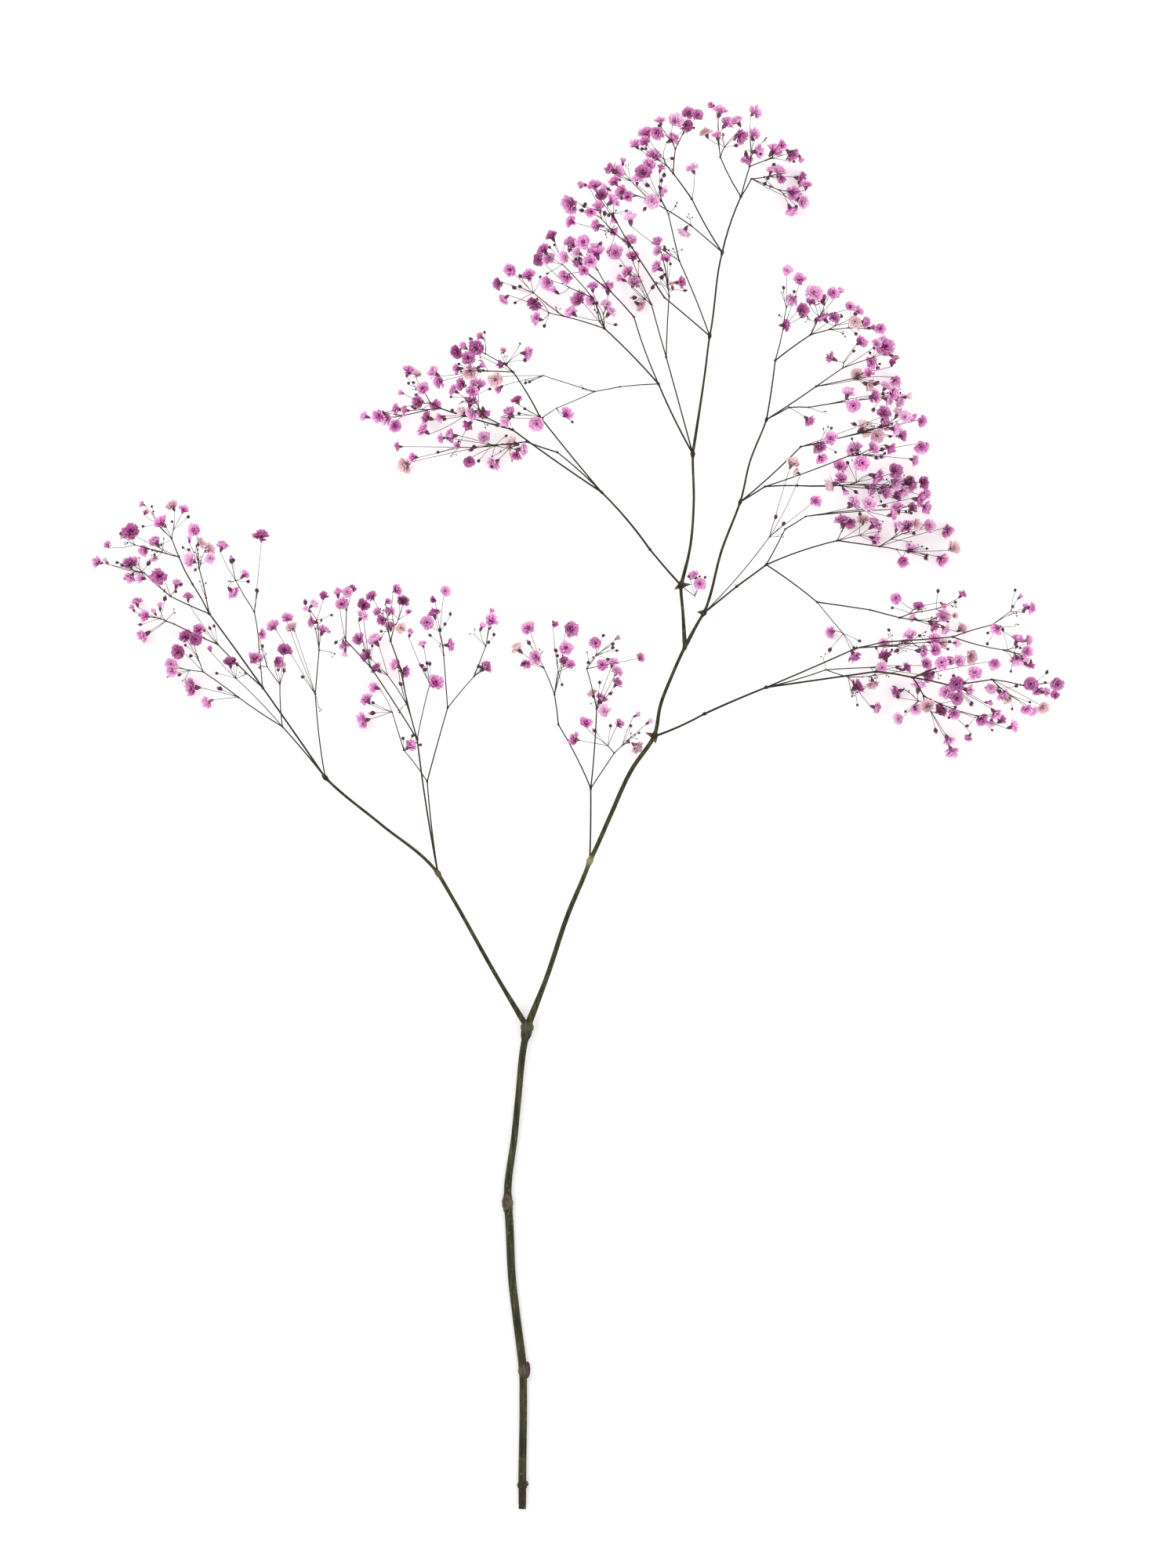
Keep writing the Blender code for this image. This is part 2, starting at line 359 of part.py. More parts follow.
    ("top_arc_h", 9, [(113.5, 310.5, 2.0), (115.5, 308, 2.4), (109.5, 304.5, 2.6)], 1),
    ("right_b", 42, [(107, 272.5, 2.2), (113.5, 268.5, 2.6)], 2),
    ("right_b", 34, [(109.5, 258, 2.6), (115, 253, 2.8), (106.5, 245, 2.6)], 0),
    ("right_c", 50, [(120.5, 261, 3.3), (124.5, 258, 2.7), (119, 257, 2.0)], 1),
    ("right_c", 46, [(130.5, 261, 2.5), (134, 262, 2.2)], 0),
    ("right_c", 38, [(125.5, 249, 2.6), (131, 248.5, 2.3)], 3),
    ("right_c", 48, [(139, 254, 2.2), (143, 252.5, 2.8), (141.5, 246.5, 2.4)], 1),
    ("right_c", 42, [(147, 246.5, 2.7), (154.5, 243, 2.3), (150, 243.5, 2.0)], 1),
    ("right_d", 30, [(145, 237, 2.5), (153, 236, 2.0), (157.5, 234.5, 3.5)], 2),
    ("right_d", 22, [(161.5, 229, 2.2), (161, 226, 2.1), (150.5, 226.5, 2.4)], 3),
    ("right_d", 13, [(143, 220.5, 2.5), (149, 221, 2.2), (149.5, 215, 2.8), (162.5, 217, 2.6)], 2),
    ("right_d", 20, [(129.5, 228.5, 2.6)], 0),
    ("right_f", 50, [(151.5, 208.5, 2.8), (157.5, 214, 2.4), (161, 210, 2.5), (159, 207, 2.6)], 2),
    ("right_f", 44, [(164.5, 206.5, 2.9), (168.5, 208.5, 2.2)], 2),
    ("right_f", 56, [(138, 210.5, 2.8), (140.5, 203.5, 2.8)], 1),
    ("right_e", 52, [(118, 196.5, 2.5)], 0),
    ("right_g", 38, [(163.5, 200.5, 2.4), (167, 198, 2.5), (170.5, 198, 2.2), (176, 196, 2.4)], 2),
    ("right_g", 33, [(156.5, 200.5, 2.8), (157, 194.5, 2.8), (162.5, 192, 2.8), (165.5, 189, 2.5)], 2),
    ("right_g", 28, [(146.5, 192.5, 3.5), (153, 188.5, 2.7)], 1),
    ("right_g", 56, [(129, 187, 2.7), (123.5, 182.5, 2.8), (124, 176.5, 2.5)], 3),
    ("right_i", 22, [(153.5, 168, 3.2), (162.5, 171, 2.9), (163, 165, 2.7)], 3),
    ("right_i", 10, [(150.5, 162, 2.7), (157.5, 160.5, 3.0), (163.5, 158.5, 2.3)], 2),
    ("right_i", 14, [(169.5, 164.5, 3.2), (167, 160.5, 2.6)], 2),
    ("right_i", 16, [(177, 165, 2.5), (178.5, 160, 2.5)], 2),
    ("right_i", 12, [(134.5, 174, 2.6), (129.5, 164, 3.0), (135, 167.5, 2.4), (137, 161, 2.0)], 2),
    ("right_j", 40, [(151, 182.5, 2.5), (159.5, 182, 2.5), (141.5, 182, 3.2)], 4),
    ("right_j", 30, [(175.5, 182.5, 3.0), (172.5, 176.5, 2.3)], 4),
    ("right_j", 48, [(145, 174.5, 3.0)], 3),
    ("right_p", 44, [(141, 154.5, 3.1), (149, 154, 2.7)], 2),
    ("right_p", 38, [(174.5, 156, 2.9), (178, 152, 2.5), (163.5, 152.5, 2.8), (161, 148.5, 2.4)], 4),
    ("right_p", 34, [(171, 152, 2.3)], 1),
    ("right_m", 10, [(135.5, 146, 3.2), (146.5, 146.5, 2.4), (152, 144, 3.0), (139.5, 144.5, 2.4)], 2),
    ("right_m", 8, [(152.5, 136.5, 2.6)], 1),
    ("right_n", 22, [(163.5, 142.5, 2.3), (168.5, 143, 2.7), (173, 144, 2.3), (180, 143, 2.7)], 2),
    ("right_n", 12, [(170.5, 131.5, 2.7), (166.5, 124.5, 2.5)], 1),
    ("right_n", 9, [(189.5, 140.5, 2.5), (192, 132, 2.8), (186.5, 126, 2.7)], 4),
    ("right_q", 52, [(109.5, 174.5, 2.7), (111.5, 170, 1.9)], 1),
    ("right_q", 60, [(121.5, 155, 2.4)], 2),
    ("lower_c", 36, [(162.5, 106, 2.3), (174, 102, 2.3)], 1),
    ("lower_c", 30, [(186.5, 102.5, 2.0), (187, 97, 3.0), (192.5, 97, 2.0), (196.5, 108, 2.1)], 3),
    ("lower_c", 20, [(182.5, 92, 2.7), (188, 90, 2.4), (197, 90.5, 2.7), (171.5, 96, 2.0)], 3),
    ("lower_d", 8, [(129.5, 88.5, 2.6), (141.5, 76.5, 2.9)], 3),
    ("lower_j", 37, [(169.5, 87, 2.9), (167, 84, 2.2), (156.5, 83, 2.4)], 2),
    ("lower_j", 34, [(182.5, 85, 2.7), (186.5, 83, 2.3), (176.5, 79, 3.1), (182.5, 80, 2.7)], 2),
    ("lower_j", 30, [(193.5, 83, 1.9)], 2),
    ("lower_k", 22, [(157, 76.5, 2.7), (155.5, 70.5, 2.5)], 2),
    ("lower_k", 9, [(143, 61, 3.1), (151, 62, 2.8), (153, 50, 2.7)], 2),
    ("lower_k", 22, [(168.5, 70.5, 2.4), (178.5, 72.5, 2.5), (179, 66.5, 2.8)], 2),
    ("lower_h", 46, [(185.5, 73, 2.7), (195, 74, 2.6), (201, 76, 2.8), (190, 74, 2.0)], 2),
    ("lower_h", 42, [(212.5, 72, 2.6)], 2),
    ("lower_i", 48, [(193, 62, 2.9), (187.5, 58, 2.7), (193.5, 55, 2.7), (199.5, 59, 2.8)], 2),
    ("lower_i", 52, [(202.5, 68, 2.9)], 1),
    ("lower_i", 40, [(209.5, 52.5, 1.9), (213.5, 47, 2.8)], 3),
    ("lower_l", 12, [(163.5, 58.5, 2.8), (174.5, 61.5, 3.3), (164, 44.5, 2.4)], 3),
    ("lower_l", 22, [(178.5, 51, 2.9), (173, 49, 2.4), (185.5, 49, 2.7), (192.5, 47, 2.6)], 3),
    ("lower_l", 9, [(190, 33.5, 2.7), (191.5, 27.5, 3.0), (200, 35, 2.0)], 1),
    ("lower_l", 26, [(206.5, 44, 2.8), (211.5, 42.5, 2.3), (216.5, 44, 2.4), (222.5, 40.5, 2.7)], 2),
    ("lower_m", 24, [(217, 57, 3.0), (220, 55, 2.4), (211, 60, 2.3)], 2),
    ("lower_m", 30, [(229, 49, 2.3), (232.5, 48.5, 2.7), (237.5, 50, 2.5)], 2),
    ("lower_m", 38, [(231, 62, 2.8), (235, 58.5, 2.3), (239, 58, 2.3), (245, 62, 2.7), (243.5, 56.5, 1.9)], 2),
    ("lower_n", 54, [(213.5, 90, 2.7), (224.5, 85, 2.8), (229.5, 84.5, 2.3)], 4),
    ("lower_n", 46, [(229, 78.5, 2.7), (224.5, 74.5, 3.0), (227.5, 74, 2.4), (231, 72, 2.2)], 4),
    ("lower_n", 58, [(228.5, 101, 2.2), (231, 100.5, 2.5), (225.5, 106.5, 1.6)], 3),
    ("upper_a", 42, [(59.5, 117.5, 2.5), (62.5, 113, 2.4)], 3),
]


@dataclass
class Twig:
    """One straight twig, from a fork to the next fork or to a floret."""

    start: np.ndarray
    end: np.ndarray
    piece: str
    florets: list
    floret: int = None
    shoots: list = field(default_factory=list)

    @property
    def half_width(self):
        """A twig is thicker the more florets it carries."""
        return PEDICEL_HALF_WIDTH * max(1, len(self.florets)) ** TWIG_GROWTH_POWER

    @property
    def heading(self):
        """The direction it grows in."""
        return (self.end - self.start) / np.linalg.norm(self.end - self.start)


def draw_florets(chance):
    """Give each floret its radius and place, at a height inside its tuft clear of the ones before it."""
    places = []
    radii = []
    for _, height, florets, _ in TUFTS:
        for x, y, radius in florets:
            heights = height + TUFT_DEPTH * chance.uniform(-1, 1, FLORET_CANDIDATES)
            choices = np.array([[x, y, max(z, radius)] for z in heights])
            choice = choices[0]
            if places:
                gaps = np.linalg.norm(choices[:, None] - np.array(places)[None], axis=2)
                choice = choices[np.argmax((gaps - np.array(radii)[None]).min(axis=1))]
            places.append(choice)
            radii.append(radius)
    return np.array(places, float), np.array(radii, float)


def part_group(fork, group, places):
    """Part a group of florets into the two or three bunches that a fork sends on."""
    aims = places[group] - fork
    aims /= np.linalg.norm(aims, axis=1)[:, None]
    spread = aims - aims.mean(axis=0)
    widest = np.linalg.svd(spread)[2][0]
    order = [group[i] for i in np.argsort(spread @ widest)]
    half = len(order) // 2
    if len(order) % 2:
        return [order[:half], [order[half]], order[half + 1 :]]
    return [order[:half], order[half:]]


def grow(start, group, places, piece):
    """Grow the twig from a fork to a group of florets, forking as it nears them."""
    if len(group) == 1:
        return Twig(start, places[group[0]], piece, list(group), group[0])
    middle = places[group].mean(axis=0)
    reach = np.linalg.norm(middle - start)
    spread = np.sqrt(((places[group] - middle) ** 2).sum(axis=1).mean())
    back = min(FORK_BACK + FORK_OPENING * spread, FORK_REACH_SHARE * reach)
    fork = middle + (start - middle) * back / reach
    twig = Twig(start, fork, piece, list(group))
    for bunch in part_group(fork, group, places):
        twig.shoots.append(grow(fork, bunch, places, piece))
    return twig


def named_nodes():
    """The place and the limb of each named node on the stout limbs."""
    nodes = {}
    for limb, (_, points) in LIMBS.items():
        for x, y, z, _, name in points:
            if name:
                nodes[name] = (np.array([x, y, z], float), limb)
    return nodes


def grow_twigs(places):
    """Grow every sprig, and return the twigs that leave each limb node, by the node's name."""
    nodes = named_nodes()
    spots = {name: place for name, (place, _) in nodes.items()}
    leaving = {name: [] for name in nodes}
    pieces = {}
    for piece, base, forks in SHOOTS:
        here = base
        for name, x, y, z in forks:
            twig = Twig(spots[here], np.array([x, y, z], float), piece, [])
            leaving[here].append(twig)
            leaving[name] = twig.shoots
            spots[name] = twig.end
            pieces[name] = piece
            here = name
    first = 0
    groups = {}
    for fork, _, florets, _ in TUFTS:
        groups.setdefault(fork, []).extend(range(first, first + len(florets)))
        first += len(florets)
    for fork, group in groups.items():
        bunches = part_group(spots[fork], group, places) if len(group) > 1 else [group]
        for bunch in bunches:
            leaving[fork].append(grow(spots[fork], bunch, places, pieces[fork]))
    return {name: leaving[name] for name in nodes}


def gather_florets(twig):
    """Fill in the florets that a twig and those beyond it carry."""
    if twig.shoots:
        twig.florets = [i for shoot in twig.shoots for i in gather_florets(shoot)]
    return twig.florets


def all_twigs(roots):
    """List each twig with those that spring from it."""
    for twig in roots:
        yield twig
        yield from all_twigs(twig.shoots)


def limb_twigs():
    """The stout limbs as straight lengths, with their half thickness."""
    nodes = named_nodes()
    lengths = []
    for limb, (base, points) in LIMBS.items():
        line = [(np.array(point[:3], float), point[3]) for point in points]
        if base:
            line.insert(0, (nodes[base][0], line[0][1]))
        for (start, low), (end, high) in zip(line, line[1:]):
            lengths.append((start, end, max(low, high), limb))
    return lengths


def nearest_on_lines(starts, ends, points):
    """The nearest place on each line to each point, as an array of lines by points."""
    runs = ends - starts
    lengths = (runs**2).sum(axis=1)
    along = ((points[None] - starts[:, None]) * runs[:, None]).sum(axis=2) / lengths[:, None]
    return starts[:, None] + np.clip(along, 0, 1)[:, :, None] * runs[:, None]


def nearest_pair(start_a, end_a, start_b, end_b):
    """The places where lines A and B, given in rows, come nearest to each other."""
    run_a = end_a - start_a
    run_b = end_b - start_b
    offset = start_a - start_b
    aa = (run_a**2).sum(axis=1)
    bb = (run_b**2).sum(axis=1)
    ab = (run_a * run_b).sum(axis=1)
    ao = (run_a * offset).sum(axis=1)
    bo = (run_b * offset).sum(axis=1)
    spare = np.maximum(aa * bb - ab * ab, 1e-9)
    along_a = np.clip((ab * bo - ao * bb) / spare, 0, 1)
    along_b = np.clip((ab * along_a + bo) / bb, 0, 1)
    along_a = np.clip((ab * along_b - ao) / aa, 0, 1)
    return start_a + along_a[:, None] * run_a, start_b + along_b[:, None] * run_b


def touching_twigs(starts, ends, half_widths, pieces, carried):
    """Find the twigs of different sprigs that pass too near each other: rows, and the upper one first."""
    middles = (starts + ends) / 2
    reaches = np.linalg.norm(ends - starts, axis=1) / 2
    near = np.linalg.norm(middles[:, None] - middles[None], axis=2) < reaches[:, None] + reaches[None] + 3
    near &= pieces[:, None] != pieces[None]
    rows_a, rows_b = np.nonzero(np.triu(near, 1))
    met = np.zeros(len(rows_a), bool)
    for tip_a in (starts, ends):
        for tip_b in (starts, ends):
            met |= np.linalg.norm(tip_a[rows_a] - tip_b[rows_b], axis=1) < 0.01
    rows_a = rows_a[~met]
    rows_b = rows_b[~met]
    spots_a, spots_b = nearest_pair(starts[rows_a], ends[rows_a], starts[rows_b], ends[rows_b])
    lacks = half_widths[rows_a] + half_widths[rows_b] + 2 * GAP - np.linalg.norm(spots_a - spots_b, axis=1)
    close = lacks > 0
    return [
        (a, b, lack) if spot_a[2] >= spot_b[2] else (b, a, lack)
        for a, b, lack, spot_a, spot_b in zip(
            rows_a[close], rows_b[close], lacks[close], spots_a[close], spots_b[close]
        )
    ]


def vertical_lack(gaps, needs):
    """How much farther apart in height things must be, for their distance to meet a need."""
    heights = np.sqrt(np.maximum(needs**2 - (gaps[:, :, :2] ** 2).sum(axis=2), 0))
    return heights - np.abs(gaps[:, :, 2])


def settle_florets(places, radii):
    """Lift or lower the florets that touch a twig or each other, round by round, and grow the twigs."""
    fixed = limb_twigs()
    for _ in range(SPREADING_ROUNDS):
        leaving = grow_twigs(places)
        twigs = []
        for roots in leaving.values():
            for root in roots:
                gather_florets(root)
            twigs.extend(all_twigs(roots))
        starts = np.array([twig.start for twig in twigs] + [row[0] for row in fixed])
        ends = np.array([twig.end for twig in twigs] + [row[1] for row in fixed])
        half_widths = np.array([twig.half_width for twig in twigs] + [row[2] for row in fixed])
        pieces = np.array([twig.piece for twig in twigs] + [row[3] for row in fixed])
        carried = np.zeros((len(starts), len(places)), bool)
        for row, twig in enumerate(twigs):
            carried[row, twig.florets] = True
        beside = carried.copy()
        for twig in twigs:
            if twig.floret is not None:
                beside[:, twig.floret] |= (np.abs(starts - twig.start).max(axis=1) < 0.01)
        lift = np.zeros(len(places))
        spots = nearest_on_lines(starts, ends, places)
        gaps = places[None] - spots
        lacks = vertical_lack(gaps, (radii[None] + half_widths[:, None]) * FLORET_CORNER_FACTOR + GAP)
        lacks[beside] = 0
        for row, floret in zip(*np.nonzero(lacks > 0)):
            lift[floret] += math.copysign(lacks[row, floret], gaps[row, floret, 2])
        apart = places[:, None] - places[None]
        lacks = vertical_lack(apart, radii[:, None] + radii[None] + FLORET_ROOM)
        for upper, lower in zip(*np.nonzero((lacks > 0) & (apart[:, :, 2] > 0))):
            lift[upper] += lacks[upper, lower] / 2
            lift[lower] -= lacks[upper, lower] / 2
        for upper, lower, lack in touching_twigs(starts, ends, half_widths, pieces, carried):
            lift[carried[upper]] += lack / 2
            lift[carried[lower]] -= lack / 2
        if not np.abs(lift).max() > 0:
            break
        moved = places.copy()
        moved[:, 2] += np.clip(lift, -1.5, 1.5)
        moved[:, 2] = np.maximum(moved[:, 2], radii * FLORET_FOOTROOM)
        places = moved
    return places, leaving


def clear_length(place, heading, half_width, others):
    """How far out along a heading a twig is clear of the other lines at its fork."""
    starts = np.array([row[0] for row in others])
    ends = np.array([row[1] for row in others])
    room = (np.array([row[2] for row in others]) + half_width) * STUB_ROOM_FACTOR + GAP
    for length in np.arange(STUB_LEAST, STUB_MOST, STUB_STEP):
        spot = place + heading * length
        nearest = nearest_on_lines(starts, ends, spot[None])[:, 0]
        if (np.linalg.norm(nearest - spot, axis=1) >= room).all():
            return length
    return STUB_MOST


def carries_full_floret(twig, radii):
    """Whether a twig leads to a floret of some size; the small ones are too fine for a solid."""
    return any(radii[floret] >= LEAST_SOLID_FLORET for floret in twig.florets)


def lay_square(face, old_centre, centre, heading, half_width, wish):
    """Lay a face's four corners square to a heading, with as little twist as can be."""
    corners = list(face.verts)
    out = corners[0].co - old_centre
    out -= out.dot(heading) * heading
    out.normalize()
    if wish is not None:
        across = heading.cross(wish)
        out = max((wish, across, -wish, -across), key=out.dot)
    side = heading.cross(out)
    for corner, reach in zip(corners, (out, side, -out, -side)):
        corner.co = centre + half_width * CORNER_REACH * reach


def draw_on(shape, face, centre, heading, half_width, wish=None):
    """Extrude a face to a new centre, and return the new face."""
    old_centre = face.calc_center_median()
    face = bmesh.ops.extrude_discrete_faces(shape, faces=[face])["faces"][0]
    lay_square(face, old_centre, centre, heading, half_width, wish)
    return face


def fork_out(shape, face, place, heading, half_width, headings):
    """Swell a twig into a block at its fork, and return the face of it that each heading leaves by."""
    sideways = max((aim - aim.dot(heading) * heading for aim in headings), key=lambda aim: aim.length)
    sine = max(sideways.length, FORK_LEAST_SINE)
    sideways = sideways.normalized() if sideways.length > 0.01 else heading.orthogonal().normalized()
    wish = (sideways + heading.cross(sideways)).normalized()
    least, most = FORK_HALF_LENGTH
    half_length = min(max(least, half_width / sine), most)
    width = half_width * FORK_SWELLING
    face = draw_on(shape, face, place - heading * half_length, heading, width, wish)
    top = draw_on(shape, face, place + heading * half_length, heading, width, wish)
    faces = [top] + [beside for edge in top.edges for beside in edge.link_faces if beside is not top]
    for face in faces:
        face.normal_update()
    return max(
        itertools.permutations(faces, len(headings)),
        key=lambda pick: sum(face.normal.dot(aim) for face, aim in zip(pick, headings)),
    )


def lines_at(twig):
    """The lines that meet at a twig's far end, with their half widths."""
    shoots = [(shoot.start, shoot.end, shoot.half_width) for shoot in twig.shoots]
    return shoots + [(twig.start, twig.end, twig.half_width)]


def others_than(shoot, lines):
    """The lines at a fork apart from one shoot's own."""
    return [line for line in lines if line[1] is not shoot.end]


def carry_on(shape, face, twig, radii):
    """Model a twig from a face, and all of its piece that springs from it."""
    heading = Vector(twig.heading)
    end = Vector(twig.end)
    if twig.floret is not None:
        radius = float(radii[twig.floret])
        face = draw_on(shape, face, end - heading * radius * FLORET_BASE, heading, twig.half_width)
        draw_on(shape, face, end + heading * radius * FLORET_CROWN, heading, radius * FLORET_CROWN_WIDTH)
        return
    shoots = [shoot for shoot in twig.shoots if carries_full_floret(shoot, radii)]
    if len(shoots) == 1 and shoots[0].piece == twig.piece:
        turn = (heading + Vector(shoots[0].heading)).normalized()
        face = draw_on(shape, face, end, turn, twig.half_width)
        carry_on(shape, face, shoots[0], radii)
        return
    aims = [Vector(shoot.heading) for shoot in shoots]
    faces = fork_out(shape, face, end, heading, twig.half_width, aims)
    for face, shoot, aim in zip(faces, shoots, aims):
        if shoot.piece == twig.piece:
            carry_on(shape, face, shoot, radii)
        else:
            length = clear_length(twig.end, shoot.heading, shoot.half_width, others_than(shoot, lines_at(twig)))
            draw_on(shape, face, end + aim * length, aim, shoot.half_width)


def build_sprig(root, length, radii):
    """Model one sprig from its root, a little way out of the fork that bears it."""
    heading = Vector(root.heading)
    start = Vector(root.start) + heading * (length + GAP)
    shape = bmesh.new()
    turn = heading.to_track_quat("Z", "Y").to_matrix().to_4x4()
    bmesh.ops.create_cone(
        shape,
        cap_ends=True,
        segments=4,
        radius1=root.half_width * CORNER_REACH,
        radius2=root.half_width * CORNER_REACH,
        depth=ROOT_LENGTH,
        matrix=Matrix.Translation(start + heading * ROOT_LENGTH / 2) @ turn,
    )
    for face in shape.faces:
        face.normal_update()
    top = max(shape.faces, key=lambda face: face.normal.dot(heading))
    carry_on(shape, top, root, radii)
    bmesh.ops.scale(shape, vec=(MM, MM, MM), verts=shape.verts)
    mesh = bpy.data.meshes.new(root.piece)
    shape.to_mesh(mesh)
    shape.free()
    return mesh


def sprig_roots(leaving):
    """Find each sprig's first twig, with its stub's length on the piece that bears it."""
    roots = []
    limbs = limb_twigs()
    for name, twigs in leaving.items():
        lines = [(start, end, half_width) for start, end, half_width, _ in limbs]
        lines += [(twig.start, twig.end, twig.half_width) for twig in twigs]
        for twig in twigs:
            length = clear_length(twig.start, twig.heading, twig.half_width, others_than(twig, lines))
            roots.append((name, twig, length))
    for twig in all_twigs([twig for twigs in leaving.values() for twig in twigs]):
        lines = lines_at(twig)
        for shoot in twig.shoots:
            if shoot.piece != twig.piece:
                length = clear_length(shoot.start, shoot.heading, shoot.half_width, others_than(shoot, lines))
                roots.append((None, shoot, length))
    return roots


def tube(name, places, half_widths):
    """Make a round tube along a line as a mesh object, its caps welded."""
    curve = bpy.data.curves.new(name, "CURVE")
    curve.dimensions = "3D"
    curve.bevel_depth = MM
    curve.bevel_resolution = STEM_DETAIL
    curve.use_fill_caps = True
    spline = curve.splines.new("POLY")
    spline.points.add(len(places) - 1)
    for point, place, half_width in zip(spline.points, places, half_widths):
        point.co = (*(np.array(place) * MM), 1.0)
        point.radius = half_width
    rod = bpy.data.objects.new(name, curve)
    bpy.context.scene.collection.objects.link(rod)
    bpy.context.view_layer.update()
    mesh = bpy.data.meshes.new_from_object(rod.evaluated_get(bpy.context.evaluated_depsgraph_get()))
    bpy.data.objects.remove(rod)
    bpy.data.curves.remove(curve)
    welded = bmesh.new()
    welded.from_mesh(mesh)
    bmesh.ops.remove_doubles(welded, verts=welded.verts, dist=1e-6)
    bmesh.ops.recalc_face_normals(welded, faces=welded.faces)
    welded.to_mesh(mesh)
    welded.free()
    mesh.name = name
    return mesh


def make_material(name, colour, roughness):
    """A plain material of one colour."""
    material = bpy.data.materials.new(name)
    material.use_nodes = True
    shader = material.node_tree.nodes["Principled BSDF"]
    shader.inputs["Base Color"].default_value = colour
    shader.inputs["Roughness"].default_value = roughness
    shader.inputs["Metallic"].default_value = 0.0
    return material


def add_piece(name, mesh, colour, roughness, collection):
    """Put a mesh in the scene as one named piece with its own material."""
    mesh.materials.clear()
    mesh.materials.append(make_material(name, colour, roughness))
    piece = bpy.data.objects.new(name, mesh)
    collection.objects.link(piece)
    return piece


def build_limbs(leaving, roots, plant, cutters):
    """Model the stout limbs, each with a stub for every limb and sprig that leaves its nodes."""
    nodes = named_nodes()
    lengths = limb_twigs()
    stubs = {limb: [] for limb in LIMBS}
    for name, twig, length in roots:
        if name:
            stubs[nodes[name][1]].append((twig.start, twig.heading, twig.half_width, length))
    for limb, (base, points) in LIMBS.items():
        places = [np.array(point[:3], float) for point in points]
        half_widths = [point[3] for point in points]
        if base:
            start = nodes[base][0]
            heading = (places[0] - start) / np.linalg.norm(places[0] - start)
            others = [row[:3] for row in lengths if row[3] != limb]
            others += [(twig.start, twig.end, twig.half_width) for twig in leaving[base]]
            length = clear_length(start, heading, half_widths[0], others)
            stubs[nodes[base][1]].append((start, heading, half_widths[0], length))
            places.insert(0, start + heading * (length + GAP))
            half_widths.insert(0, half_widths[0])
        add_piece(limb, tube(limb, places, half_widths), STEM_COLOUR, STEM_ROUGHNESS, plant)
    for limb, rows in stubs.items():
        for number, (start, heading, half_width, length) in enumerate(rows):
            name = f"{limb}_stub_{number}"
            ends = [start, start + heading * length]
            stub = bpy.data.objects.new(name, tube(name, ends, [half_width * STUB_ROOT_FLARE, half_width]))
            stub.hide_render = True
            stub.display_type = "WIRE"
            cutters.objects.link(stub)
            union = bpy.data.objects[limb].modifiers.new(name, "BOOLEAN")
            union.operation = "UNION"
            union.object = stub


def build_bracts(plant):
    """Model the dry bracts as flattened cones that point out of their nodes."""
    nodes = named_nodes()
    swellings = {name: point[3] for _, points in LIMBS.values() for point in points for name in [point[4]]}
    for name, (node, aim, length) in BRACTS.items():
        heading = Vector(aim).normalized()
        foot = Vector(nodes[node][0]) + heading * (swellings[node] + BRACT_FOOTROOM + GAP)
        turn = heading.to_track_quat("Z", "Y").to_matrix().to_4x4()
        flatten = Matrix.Diagonal((1.0, BRACT_THICKNESS_SHARE, 1.0, 1.0))
        shape = bmesh.new()
        bmesh.ops.create_cone(
            shape,
            cap_ends=True,
            segments=BRACT_SIDES,
            radius1=BRACT_HALF_WIDTH,
            radius2=BRACT_HALF_WIDTH * BRACT_TIP_SHARE,
            depth=length,
            matrix=Matrix.Translation(foot + heading * length / 2) @ turn @ flatten,
        )
        bmesh.ops.scale(shape, vec=(MM, MM, MM), verts=shape.verts)
        mesh = bpy.data.meshes.new(name)
        shape.to_mesh(mesh)
        shape.free()
        add_piece(name, mesh, BRACT_COLOUR, SPRIG_ROUGHNESS, plant)


def main():
    """Clear the scene, grow the plant and model its pieces."""
    for old in list(bpy.data.objects):
        bpy.data.objects.remove(old)
    plant = bpy.data.collections.new(PLANT_NAME)
    cutters = bpy.data.collections.new("cutters")
    bpy.context.scene.collection.children.link(plant)
    bpy.context.scene.collection.children.link(cutters)
    places, radii = draw_florets(np.random.default_rng(SEED))
    places, leaving = settle_florets(places, radii)
    roots = sprig_roots(leaving)
    build_limbs(leaving, roots, plant, cutters)
    for _, root, length in roots:
        add_piece(root.piece, build_sprig(root, length, radii), SPRIG_COLOUR, SPRIG_ROUGHNESS, plant)
    build_bracts(plant)


main()
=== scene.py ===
"""Looks of a cut gypsophila stem with dyed-pink double florets, laid flat and seen from straight above."""

import json
import logging
import math
from dataclasses import dataclass, field
from enum import Enum
from typing import Dict, Iterator, List, NamedTuple, Optional, Sequence, Tuple

